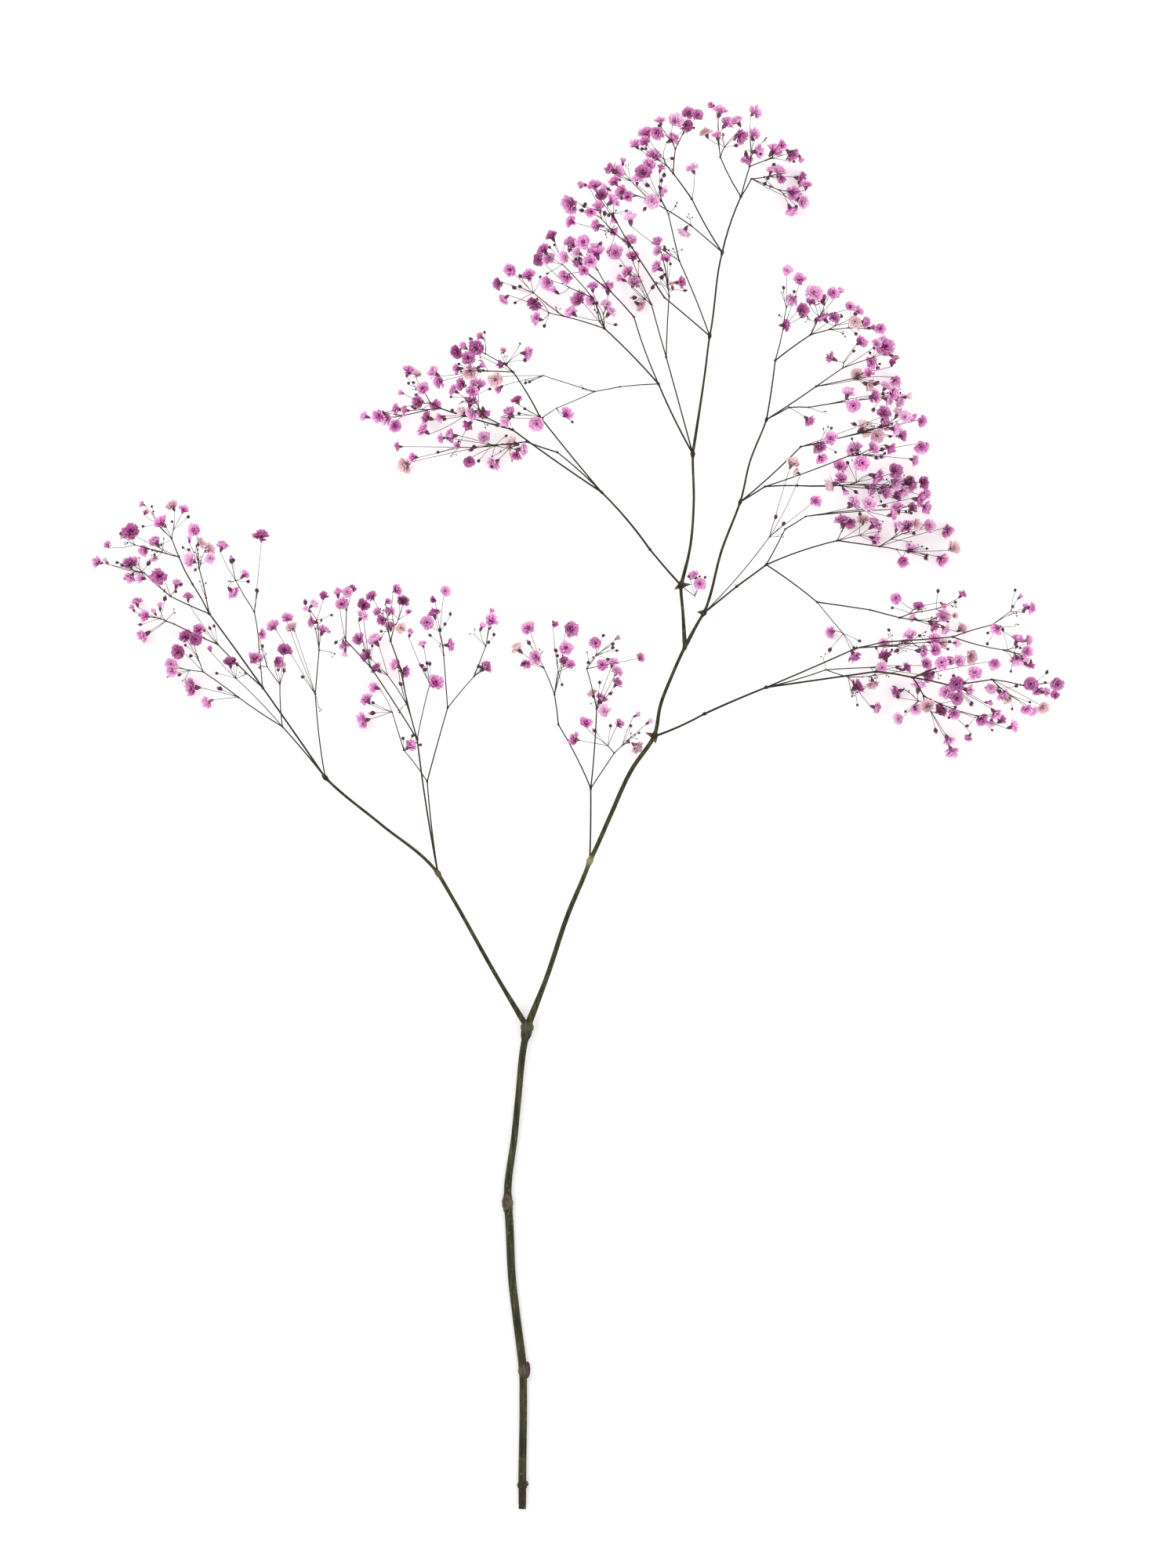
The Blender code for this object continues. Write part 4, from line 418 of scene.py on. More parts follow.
        ("c", 30, 3, (186.5, 102.5, 2), (187, 97, 3), (192.5, 97, 2), (196.5, 108, 2.1)),
        ("c", 20, 3, (182.5, 92, 2.7), (188, 90, 2.4), (197, 90.5, 2.7), (171.5, 96, 2)),
        ("d", 8, 3, (129.5, 88.5, 2.6), (141.5, 76.5, 2.9)),
        ("j", 37, 2, (169.5, 87, 2.9), (167, 84, 2.2), (156.5, 83, 2.4)),
        ("j", 34, 2, (182.5, 85, 2.7), (186.5, 83, 2.3), (176.5, 79, 3.1), (182.5, 80, 2.7)),
        ("j", 30, 2, (193.5, 83, 1.9)),
        ("k", 22, 2, (157, 76.5, 2.7), (155.5, 70.5, 2.5)),
        ("k", 9, 2, (143, 61, 3.1), (151, 62, 2.8), (153, 50, 2.7)),
        ("k", 22, 2, (168.5, 70.5, 2.4), (178.5, 72.5, 2.5), (179, 66.5, 2.8)),
        ("h", 46, 2, (185.5, 73, 2.7), (195, 74, 2.6), (201, 76, 2.8), (190, 74, 2)),
        ("h", 42, 2, (212.5, 72, 2.6)),
        ("i", 48, 2, (193, 62, 2.9), (187.5, 58, 2.7), (193.5, 55, 2.7), (199.5, 59, 2.8)),
        ("i", 52, 1, (202.5, 68, 2.9)),
        ("i", 40, 3, (209.5, 52.5, 1.9), (213.5, 47, 2.8)),
        ("l", 12, 3, (163.5, 58.5, 2.8), (174.5, 61.5, 3.3), (164, 44.5, 2.4)),
        ("l", 22, 3, (178.5, 51, 2.9), (173, 49, 2.4), (185.5, 49, 2.7), (192.5, 47, 2.6)),
        ("l", 9, 1, (190, 33.5, 2.7), (191.5, 27.5, 3), (200, 35, 2)),
        ("l", 26, 2, (206.5, 44, 2.8), (211.5, 42.5, 2.3), (216.5, 44, 2.4), (222.5, 40.5, 2.7)),
        ("m", 24, 2, (217, 57, 3), (220, 55, 2.4), (211, 60, 2.3)),
        ("m", 30, 2, (229, 49, 2.3), (232.5, 48.5, 2.7), (237.5, 50, 2.5)),
        ("m", 38, 2, (231, 62, 2.8), (235, 58.5, 2.3), (239, 58, 2.3), (245, 62, 2.7), (243.5, 56.5, 1.9)),
        ("n", 54, 4, (213.5, 90, 2.7), (224.5, 85, 2.8), (229.5, 84.5, 2.3)),
        ("n", 46, 4, (229, 78.5, 2.7), (224.5, 74.5, 3), (227.5, 74, 2.4), (231, 72, 2.2)),
        ("n", 58, 3, (228.5, 101, 2.2), (231, 100.5, 2.5), (225.5, 106.5, 1.6)),
    ]),
    ("upper", [
        ("a", 42, 3, (59.5, 117.5, 2.5), (62.5, 113, 2.4)),
    ]),
]

# How brown and how pale the nodes of the limbs are
NODE_TINTS = {
    "cut_end": (1.0, 0.0),
    "stem_node_1": (1.0, 0.0),
    "stem_node_2": (0.45, 0.12),
    "stem_node_3": (0.35, 0.12),
    "first_fork": (0.5, 0.1),
    "left_fork_1": (0.5, 0.18),
    "leader_node_1": (0.0, 0.5),
    "leader_node_2": (0.7, 0.0),
    "leader_node_3": (0.5, 0.0),
}

# How far petals reach past their solid cup, in most sprigs and in the three fullest crowns
PETAL_REACH = 1.36
CROWN_REACH = {"top": 1.52, "right": 1.45, "upper": 1.47}


def root_body() -> str:
    """The name of the one body that every piece rides on."""
    return next(iter(frame["bodies"]))


def limb_points(limb: str) -> List[Tuple[Array, float, str]]:
    """The points of a limb: each one's place, half thickness, and node's name or nothing."""
    return [(np.array(point[:3], float), point[3], "".join(point[4:])) for point in LIMBS[limb][1]]


def shoots() -> Iterator[Tuple[str, str, List[tuple]]]:
    """The rows of SHOOTS in full: piece, the fork that it springs from, and its own forks."""
    for crown, rows in SHOOTS:
        for part, base, *forks in rows:
            source = base if "_" in base else f"{crown}_{base}"
            yield f"{crown}_{part}", source, [(f"{crown}_{name}", *place) for name, *place in forks]


def tufts() -> Iterator[Tuple[str, float, int, List[tuple], List[int]]]:
    """The rows of TUFTS in full: fork, mean height, how many buds, the florets, and the florets' numbers."""
    first = 0
    for crown, rows in TUFTS:
        for fork, height, buds, *florets in rows:
            yield f"{crown}_{fork}", height, buds, florets, list(range(first, first + len(florets)))
            first += len(florets)


@dataclass
class Twig:
    """One twig, from a fork to the next fork or to a floret.

    Args:
        start: where it leaves its fork, in millimetres.
        end: where it forks again or bears a floret.
        piece: the sprig that it belongs to.
        florets: the florets that it and those beyond it carry.
        floret: the floret at its tip, or None where it forks.
        shoots: the twigs that spring from its end.
    """

    start: Array
    end: Array
    piece: str
    florets: List[int]
    floret: Optional[int] = None
    shoots: List["Twig"] = field(default_factory=list)

    @property
    def half_width(self) -> float:
        """Half its thickness, more the more florets it carries."""
        return PEDICEL_HALF_WIDTH * max(1, len(self.florets)) ** TWIG_GROWTH_POWER

    @property
    def heading(self) -> Array:
        """The direction it grows in."""
        return (self.end - self.start) / np.linalg.norm(self.end - self.start)

    def gather(self) -> List[int]:
        """Fill in and return the florets that it and those beyond it carry."""
        if self.shoots:
            self.florets = [floret for shoot in self.shoots for floret in shoot.gather()]
        return self.florets

    def family(self) -> Iterator["Twig"]:
        """List it and every twig beyond it."""
        yield self
        for shoot in self.shoots:
            yield from shoot.family()


def every_twig(leaving: Dict[str, List[Twig]]) -> List[Twig]:
    """Every twig beyond the limbs' nodes, each knowing the florets that it carries."""
    twigs = []
    for root in (root for roots in leaving.values() for root in roots):
        root.gather()
        twigs.extend(root.family())
    return twigs


class Habit:
    """How the plant grows: where its florets sit, and the twigs that fork their way to them."""

    def __init__(self) -> None:
        """Draw the florets, grow the twigs to them and settle them clear of each other."""
        self.nodes = {name: (place, limb) for limb in LIMBS for place, _, name in limb_points(limb) if name}
        self.limb_lengths = self.list_limb_lengths()
        self.places, self.radii = self.draw_florets(np.random.default_rng(SEED))
        self.leaving = self.settle()

    def list_limb_lengths(self) -> List[tuple]:
        """The stout limbs as straight lengths: start, end, half thickness and limb."""
        lengths = []
        for limb, (base, _) in LIMBS.items():
            line = [(place, half) for place, half, _ in limb_points(limb)]
            if base:
                line.insert(0, (self.nodes[base][0], line[0][1]))
            for (start, low), (end, high) in zip(line, line[1:]):
                lengths.append((start, end, max(low, high), limb))
        return lengths

    @staticmethod
    def draw_florets(chance: Chance) -> Tuple[Array, Array]:
        """Give each floret its radius and place, at a height inside its tuft clear of the ones before it.

        Args:
            chance: the seeded source of chance.

        Returns:
            The florets' places and radii, in millimetres.
        """
        places = []
        radii = []
        for _, height, _, florets, _ in tufts():
            for x, y, radius in florets:
                heights = height + TUFT_DEPTH * chance.uniform(-1, 1, FLORET_CANDIDATES)
                choices = np.array([[x, y, max(z, radius)] for z in heights])
                choice = choices[0]
                if places:
                    gaps = np.linalg.norm(choices[:, None] - np.array(places)[None], axis=2)
                    choice = choices[np.argmax((gaps - np.array(radii)[None]).min(axis=1))]
                places.append(choice)
                radii.append(radius)
        return np.array(places, float), np.array(radii, float)

    def part_group(self, fork: Array, group: Sequence[int]) -> List[List[int]]:
        """Part a group of florets into the two or three bunches that a fork sends on.

        Args:
            fork: where they part.
            group: the florets.

        Returns:
            The bunches.
        """
        aims = self.places[group] - fork
        aims /= np.linalg.norm(aims, axis=1)[:, None]
        spread = aims - aims.mean(axis=0)
        widest = np.linalg.svd(spread)[2][0]
        order = [group[i] for i in np.argsort(spread @ widest)]
        half = len(order) // 2
        if len(order) % 2:
            return [order[:half], [order[half]], order[half + 1 :]]
        return [order[:half], order[half:]]

    def grow(self, start: Array, group: Sequence[int], piece: str) -> Twig:
        """Grow the twig from a fork to a group of florets, forking as it nears them.

        Args:
            start: the fork that it leaves.
            group: the florets.
            piece: the sprig that it belongs to.

        Returns:
            The twig, with those beyond it.
        """
        if len(group) == 1:
            return Twig(start, self.places[group[0]], piece, list(group), group[0])
        middle = self.places[group].mean(axis=0)
        reach = np.linalg.norm(middle - start)
        spread = np.sqrt(((self.places[group] - middle) ** 2).sum(axis=1).mean())
        back = min(FORK_BACK + FORK_OPENING * spread, FORK_REACH_SHARE * reach)
        fork = middle + (start - middle) * back / reach
        twig = Twig(start, fork, piece, list(group))
        for bunch in self.part_group(fork, group):
            twig.shoots.append(self.grow(fork, bunch, piece))
        return twig

    def grow_twigs(self) -> Dict[str, List[Twig]]:
        """Grow every sprig.

        Returns:
            The twigs that leave each limb node, by the node's name.
        """
        spots = {name: place for name, (place, _) in self.nodes.items()}
        leaving = {name: [] for name in self.nodes}
        pieces = {}
        for piece, base, forks in shoots():
            here = base
            for name, x, y, z in forks:
                twig = Twig(spots[here], np.array([x, y, z], float), piece, [])
                leaving[here].append(twig)
                leaving[name] = twig.shoots
                spots[name] = twig.end
                pieces[name] = piece
                here = name
        groups = {}
        for fork, _, _, _, group in tufts():
            groups.setdefault(fork, []).extend(group)
        for fork, group in groups.items():
            bunches = self.part_group(spots[fork], group) if len(group) > 1 else [group]
            leaving[fork].extend(self.grow(spots[fork], bunch, pieces[fork]) for bunch in bunches)
        return {name: leaving[name] for name in self.nodes}

    def settle(self) -> Dict[str, List[Twig]]:
        """Lift or lower the florets that touch a twig or each other, round by round.

        Returns:
            The twigs of the last round, by the limb node that they leave.
        """
        fixed = self.limb_lengths
        radii = self.radii
        for _ in range(SPREADING_ROUNDS):
            leaving = self.grow_twigs()
            twigs = every_twig(leaving)
            starts = np.array([twig.start for twig in twigs] + [row[0] for row in fixed])
            ends = np.array([twig.end for twig in twigs] + [row[1] for row in fixed])
            half_widths = np.array([twig.half_width for twig in twigs] + [row[2] for row in fixed])
            pieces = np.array([twig.piece for twig in twigs] + [row[3] for row in fixed])
            carried = np.zeros((len(starts), len(radii)), bool)
            for row, twig in enumerate(twigs):
                carried[row, twig.florets] = True
            beside = carried.copy()
            for twig in twigs:
                if twig.floret is not None:
                    beside[:, twig.floret] |= np.abs(starts - twig.start).max(axis=1) < SAME_PLACE
            lift = np.zeros(len(radii))
            gaps = self.places[None] - nearest_on_lines(starts, ends, self.places)
            needs = (radii[None] + half_widths[:, None]) * FLORET_CORNER_FACTOR + GAP
            lacks = vertical_lack(gaps, needs)
            lacks[beside] = 0
            for row, floret in zip(*np.nonzero(lacks > 0)):
                lift[floret] += math.copysign(lacks[row, floret], gaps[row, floret, 2])
            apart = self.places[:, None] - self.places[None]
            lacks = vertical_lack(apart, radii[:, None] + radii[None] + FLORET_ROOM)
            for upper, lower in zip(*np.nonzero((lacks > 0) & (apart[:, :, 2] > 0))):
                lift[upper] += lacks[upper, lower] / 2
                lift[lower] -= lacks[upper, lower] / 2
            for upper, lower, lack in touching_twigs(starts, ends, half_widths, pieces):
                lift[carried[upper]] += lack / 2
                lift[carried[lower]] -= lack / 2
            if not np.abs(lift).max() > 0:
                break
            moved = self.places.copy()
            moved[:, 2] += np.clip(lift, -MOST_LIFT, MOST_LIFT)
            moved[:, 2] = np.maximum(moved[:, 2], radii * FLORET_FOOTROOM)
            self.places = moved
        return leaving

    def twigs_by_piece(self) -> Dict[str, List[Twig]]:
        """Every twig, by the sprig that it belongs to."""
        sprigs = {}
        for twig in every_twig(self.leaving):
            sprigs.setdefault(twig.piece, []).append(twig)
        return sprigs


def nearest_on_lines(starts: Array, ends: Array, points: Array) -> Array:
    """Find the nearest place on each line to each point.

    Args:
        starts: the lines' starts, in rows.
        ends: their ends.
        points: the points.

    Returns:
        The places, as an array of lines by points.
    """
    runs = ends - starts
    lengths = (runs**2).sum(axis=1)
    along = ((points[None] - starts[:, None]) * runs[:, None]).sum(axis=2) / lengths[:, None]
    return starts[:, None] + np.clip(along, 0, 1)[:, :, None] * runs[:, None]


def nearest_pair(
    start_a: Array, end_a: Array, start_b: Array, end_b: Array
) -> Tuple[Array, Array]:
    """Find where straight lines, given in rows, come nearest to each other.

    Args:
        start_a: the starts of the first lines.
        end_a: their ends.
        start_b: the starts of the second lines.
        end_b: their ends.

    Returns:
        The nearest places on the first lines and on the second.
    """
    run_a = end_a - start_a
    run_b = end_b - start_b
    offset = start_a - start_b
    aa = (run_a**2).sum(axis=1)
    bb = (run_b**2).sum(axis=1)
    ab = (run_a * run_b).sum(axis=1)
    ao = (run_a * offset).sum(axis=1)
    bo = (run_b * offset).sum(axis=1)
    spare = np.maximum(aa * bb - ab * ab, 1e-9)
    along_a = np.clip((ab * bo - ao * bb) / spare, 0, 1)
    along_b = np.clip((ab * along_a + bo) / bb, 0, 1)
    along_a = np.clip((ab * along_b - ao) / aa, 0, 1)
    return start_a + along_a[:, None] * run_a, start_b + along_b[:, None] * run_b


def touching_twigs(
    starts: Array, ends: Array, half_widths: Array, pieces: Array
) -> List[Tuple[int, int, float]]:
    """Find the twigs of different sprigs that pass too near each other.

    Args:
        starts: where the twigs start, in rows.
        ends: where they end.
        half_widths: half their thickness.
        pieces: the sprigs that they belong to.

    Returns:
        The rows of each pair, the upper one first, and how much too near they are.
    """
    middles = (starts + ends) / 2
    reaches = np.linalg.norm(ends - starts, axis=1) / 2
    apart = np.linalg.norm(middles[:, None] - middles[None], axis=2)
    near = apart < reaches[:, None] + reaches[None] + NEARBY
    near &= pieces[:, None] != pieces[None]
    rows_a, rows_b = np.nonzero(np.triu(near, 1))
    met = np.zeros(len(rows_a), bool)
    for tip_a in (starts, ends):
        for tip_b in (starts, ends):
            met |= np.linalg.norm(tip_a[rows_a] - tip_b[rows_b], axis=1) < SAME_PLACE
    rows_a = rows_a[~met]
    rows_b = rows_b[~met]
    spots_a, spots_b = nearest_pair(starts[rows_a], ends[rows_a], starts[rows_b], ends[rows_b])
    lacks = half_widths[rows_a] + half_widths[rows_b] + 2 * GAP - np.linalg.norm(spots_a - spots_b, axis=1)
    close = lacks > 0
    return [
        (a, b, lack) if spot_a[2] >= spot_b[2] else (b, a, lack)
        for a, b, lack, spot_a, spot_b in zip(
            rows_a[close], rows_b[close], lacks[close], spots_a[close], spots_b[close]
        )
    ]


def vertical_lack(gaps: Array, needs: Array) -> Array:
    """How much farther apart in height things must be, for their distance to meet a need."""
    heights = np.sqrt(np.maximum(needs**2 - (gaps[:, :, :2] ** 2).sum(axis=2), 0))
    return heights - np.abs(gaps[:, :, 2])


def unit(vector: Array) -> Array:
    """The vector at a length of one."""
    return vector / np.linalg.norm(vector)


def hex_colour(code: str) -> Tuple[float, float, float, float]:
    """A colour as the shaders want it, from its six-digit screen code."""
    channels = [int(code[i : i + 2], 16) / 255 for i in (0, 2, 4)]
    linear = [c / 12.92 if c <= 0.04045 else ((c + 0.055) / 1.055) ** 2.4 for c in channels]
    return (*linear, 1.0)


class NodeTree:
    """A tree of nodes, with short calls to add and join them."""

    def __init__(self, tree: bpy.types.NodeTree) -> None:
        """Keep the tree to work on."""
        self.tree = tree

    def add(self, kind: str, **settings: object) -> bpy.types.Node:
        """Add a node.

        Args:
            kind: Blender's name for its type.
            settings: those that name a socket fill or feed it, and the rest are properties.

        Returns:
            The new node.
        """
        node = self.tree.nodes.new(kind)
        sockets = {key: value for key, value in settings.items() if key[0].isupper()}
        for key, value in settings.items():
            if key not in sockets:
                setattr(node, key, value)
        for key, value in sockets.items():
            self.feed(node.inputs[key.replace("_", " ")], value)
        return node

    def feed(self, socket: Socket, value: object) -> None:
        """Join a node's output to a socket, or give the socket a plain value."""
        if isinstance(value, Socket):
            self.tree.links.new(value, socket)
        else:
            socket.default_value = value

    def math(self, operation: str, first: object, second: object) -> Socket:
        """Do one sum on two numbers.

        Args:
            operation: which sum.
            first: a number, or the output that gives it.
            second: the other one.

        Returns:
            The output that gives the result.
        """
        node = self.add("ShaderNodeMath", operation=operation)
        self.feed(node.inputs[0], first)
        self.feed(node.inputs[1], second)
        return node.outputs[0]


class ShaderTree(NodeTree):
    """The nodes of one material."""

    def __init__(self, name: str) -> None:
        """Start a material with one Principled shader."""
        self.material = bpy.data.materials.new(name)
        self.material.use_nodes = True
        super().__init__(self.material.node_tree)
        self.shader = self.tree.nodes["Principled BSDF"]

    def set(self, name: str, value: object) -> None:
        """Set one of the shader's own sockets."""
        self.feed(self.shader.inputs[name], value)

    def attribute(self, name: str) -> Socket:
        """The number that the mesh holds under a name."""
        return self.add("ShaderNodeAttribute", attribute_name=name).outputs["Fac"]

    def noise(self, scale: float, detail: float = 3.0, stretch: Triple = (1, 1, 1)) -> Socket:
        """Lay cloudy noise over the object's own coordinates.

        Args:
            scale: how many clouds it has per metre.
            detail: how many finer layers it has.
            stretch: a factor for each axis, below one where the clouds are drawn out along it.

        Returns:
            The noise, from nought to one.
        """
        place = self.add("ShaderNodeTexCoord").outputs["Object"]
        vector = self.add("ShaderNodeMapping", Vector=place, Scale=stretch).outputs["Vector"]
        return self.add("ShaderNodeTexNoise", Vector=vector, Scale=scale, Detail=detail).outputs["Fac"]

    def ramp(self, factor: Socket, *stops: Tuple[float, str]) -> Socket:
        """Turn a factor into a colour.

        Args:
            factor: the number that runs through the colours.
            stops: places along it, each with its colour's code.

        Returns:
            The colour.
        """
        node = self.add("ShaderNodeValToRGB", Fac=factor)
        elements = node.color_ramp.elements
        while len(elements) < len(stops):
            elements.new(0.5)
        for element, (place, code) in zip(elements, stops):
            element.position = place
            element.color = hex_colour(code)
        return node.outputs["Color"]

    def grade(self, factor: Socket, low: float, high: float, floor: float = 0.0, top: float = 1.0) -> Socket:
        """Stretch a part of a factor's range over another range.

        Args:
            factor: the number to stretch.
            low: where its part starts.
            high: where its part ends.
            floor: what low becomes.
            top: what high becomes.

        Returns:
            The stretched number.
        """
        ends = {"From_Min": low, "From_Max": high, "To_Min": floor, "To_Max": top}
        return self.add("ShaderNodeMapRange", Value=factor, **ends).outputs["Result"]

    def mix(self, factor: object, first: object, second: object, blend: str = "MIX") -> Socket:
        """Blend two colours.

        Args:
            factor: the share of the second.
            first: a colour, or the output that gives it.
            second: the other one.
            blend: the way they mix.

        Returns:
            The mixed colour.
        """
        node = self.add("ShaderNodeMix", data_type="RGBA", blend_type=blend)
        self.feed(node.inputs["Factor"], factor)
        self.feed(node.inputs[6], first)
        self.feed(node.inputs[7], second)
        return node.outputs[2]

    def finish(self, skin: Socket, roughness: object, grain: Socket, relief: float, depth: float) -> Material:
        """Give the surface its colour, roughness and fine relief.

        Args:
            skin: the colour.
            roughness: how matt the surface is.
            grain: the pattern of its relief.
            relief: how strongly that shows.
            depth: how deep it is, in millimetres.

        Returns:
            The finished material.
        """
        self.set("Base Color", skin)
        self.set("Roughness", roughness)
        bump = self.add("ShaderNodeBump", Height=grain, Strength=relief, Distance=depth * MM)
        self.set("Normal", bump.outputs["Normal"])
        return self.material


@dataclass(frozen=True)
class StalkFinish:
    """The skin of the stalk and its limbs: olive, streaked and flecked, browner at the nodes."""

    shade: str = "141309"
    body: str = "2f2f18"
    light: str = "4d4d2f"
    node_brown: str = "362717"
    node_dark: str = "120a07"
    fleck: str = "77765c"
    fleck_strength: float = 0.6
    pith: str = "b9ae86"
    gloss: float = 0.2
    roughness: Range = (0.42, 0.62)

    def material(self) -> Material:
        """Build the stalk's material."""
        tree = ShaderTree("stalk_skin")
        streak = tree.noise(900.0, 4.0, (1.0, 0.09, 1.0))
        cloud = tree.noise(60.0)
        green = tree.ramp(streak, (0.28, self.shade), (0.5, self.body), (0.74, self.light))
        brown = tree.ramp(streak, (0.3, self.node_dark), (0.7, self.node_brown))
        near = tree.math("ADD", tree.attribute("browning"), tree.grade(cloud, 0.35, 0.75, -0.25, 0.25))
        skin = tree.mix(tree.grade(near, 0.25, 0.8), green, brown)
        spots = tree.grade(tree.noise(1400.0, 1.0, (1.0, 0.3, 1.0)), 0.66, 0.72)
        skin = tree.mix(tree.math("MULTIPLY", spots, self.fleck_strength), skin, hex_colour(self.fleck))
        skin = tree.mix(tree.attribute("pith"), skin, hex_colour(self.pith))
        tree.set("Specular IOR Level", self.gloss)
        return tree.finish(skin, tree.grade(streak, 0.3, 0.8, *self.roughness), streak, 0.5, 0.2)


@dataclass(frozen=True)
class TwigFinish:
    """The thin twigs: dark grey-olive, turning brown at the forks and towards the florets."""

    olive_dark: str = "1e1d14"
    olive: str = "373625"
    brown_dark: str = "20120f"
    brown: str = "422b25"
    gloss: float = 0.2
    roughness: float = 0.6

    def material(self) -> Material:
        """Build the twigs' material."""
        tree = ShaderTree("twig_skin")
        streak = tree.noise(1200.0, 2.0)
        olive = tree.ramp(streak, (0.3, self.olive_dark), (0.7, self.olive))
        brown = tree.ramp(streak, (0.3, self.brown_dark), (0.7, self.brown))
        cloud = tree.grade(tree.noise(45.0, 2.0), 0.35, 0.7, -0.3, 0.3)
        near = tree.math("ADD", tree.attribute("browning"), cloud)
        tree.set("Specular IOR Level", self.gloss)
        skin = tree.mix(tree.grade(near, 0.15, 0.85), olive, brown)
        return tree.finish(skin, self.roughness, streak, 0.3, 0.1)


@dataclass(frozen=True)
class PetalFinish:
    """The dyed petals: dark magenta painted shade deep in the floret, vivid pink, and a pale edge that is
    part dye and part painted highlight; some faded to peach.
    """

    # depth: painted shade at each petal's root, deep in the floret
    depth: str = "450538"
    vivid: str = "d544b7"
    light: str = "ee9bdb"
    # edge: the tips' pale pink, part dye and part painted highlight
    edge: str = "ffeaf8"
    strong: str = "b43a9b"
    # faded_depth: painted shade at the roots of faded petals
    faded_depth: str = "b98595"
    faded: str = "f3dad9"
    roughness: float = 0.62
    sheen: float = 0.25

    def material(self) -> Material:
        """Build the petals' material."""
        tree = ShaderTree("petal_skin")
        run = tree.attribute("petal_run")
        tone = tree.attribute("tone")
        mottle = tree.noise(1500.0, 2.0)
        along = tree.math("ADD", run, tree.grade(mottle, 0.3, 0.7, -0.14, 0.14))
        # Root to tip: painted shade, the dye's vivid and light pink, then a tip that is partly a painted
        # highlight
        pink = tree.ramp(along, (0.02, self.depth), (0.32, self.vivid), (0.68, self.light), (0.97, self.edge))
        deep = tree.mix(tree.grade(tone, 0.5, 0.0, 0.0, 0.75), pink, hex_colour(self.strong), "MULTIPLY")
        washed = tree.mix(tree.grade(tone, 0.6, 1.0, 0.0, 0.45), deep, hex_colour(self.edge))
        pale = tree.ramp(along, (0.05, self.faded_depth), (0.7, self.faded))
        tree.set("Sheen Weight", self.sheen)
        return tree.finish(tree.mix(tree.attribute("fade"), washed, pale), self.roughness, mottle, 0.3, 0.1)


@dataclass(frozen=True)
class CalyxFinish:
    """The calyx under a floret and the skin of a bud: dark plum over dull green."""

    name: str = "calyx_skin"
    green: str = "514c34"
    plum: str = "6b2450"
    dark: str = "35122a"
    roughness: float = 0.5

    def material(self) -> Material:
        """Build the calyx's material."""
        tree = ShaderTree(self.name)
        mottle = tree.noise(1100.0, 2.0)
        along = tree.math("ADD", tree.attribute("petal_run"), tree.grade(mottle, 0.3, 0.7, -0.2, 0.2))
        skin = tree.ramp(along, (0.0, self.green), (0.45, self.plum), (1.0, self.dark))
        return tree.finish(skin, self.roughness, mottle, 0.3, 0.1)


@dataclass(frozen=True)
class BractFinish:
    """The dry papery bracts: brown, with darker veins along them."""

    dark: str = "2f1d19"
    body: str = "5b3d33"
    light: str = "94765c"
    roughness: float = 0.75

    def material(self) -> Material:
        """Build the bracts' material."""
        tree = ShaderTree("bract_paper")
        vein = tree.noise(1600.0)
        skin = tree.ramp(vein, (0.3, self.dark), (0.5, self.body), (0.75, self.light))
        return tree.finish(skin, self.roughness, vein, 0.6, 0.2)


@dataclass(frozen=True)
class ScarFinish:
    """An old leaf or branch scar: a dull brown rim round a dark magenta core."""

    rim: str = "635845"
    rim_dark: str = "3a2f24"
    core: str = "4a1330"
    roughness: float = 0.7

    def material(self) -> Material:
        """Build the scar's material."""
        tree = ShaderTree("scar_tissue")
        grain = tree.noise(1500.0)
        rim = tree.ramp(grain, (0.35, self.rim_dark), (0.65, self.rim))
        skin = tree.mix(tree.attribute("core"), rim, hex_colour(self.core))
        return tree.finish(skin, self.roughness, grain, 0.6, 0.2)


def number_points(mesh: Mesh, **numbers: Sequence[float]) -> None:
    """Give the points of a mesh their named numbers."""
    for name, values in numbers.items():
        mesh.attributes.new(name, "FLOAT", "POINT").data.foreach_set("value", np.array(values, float))


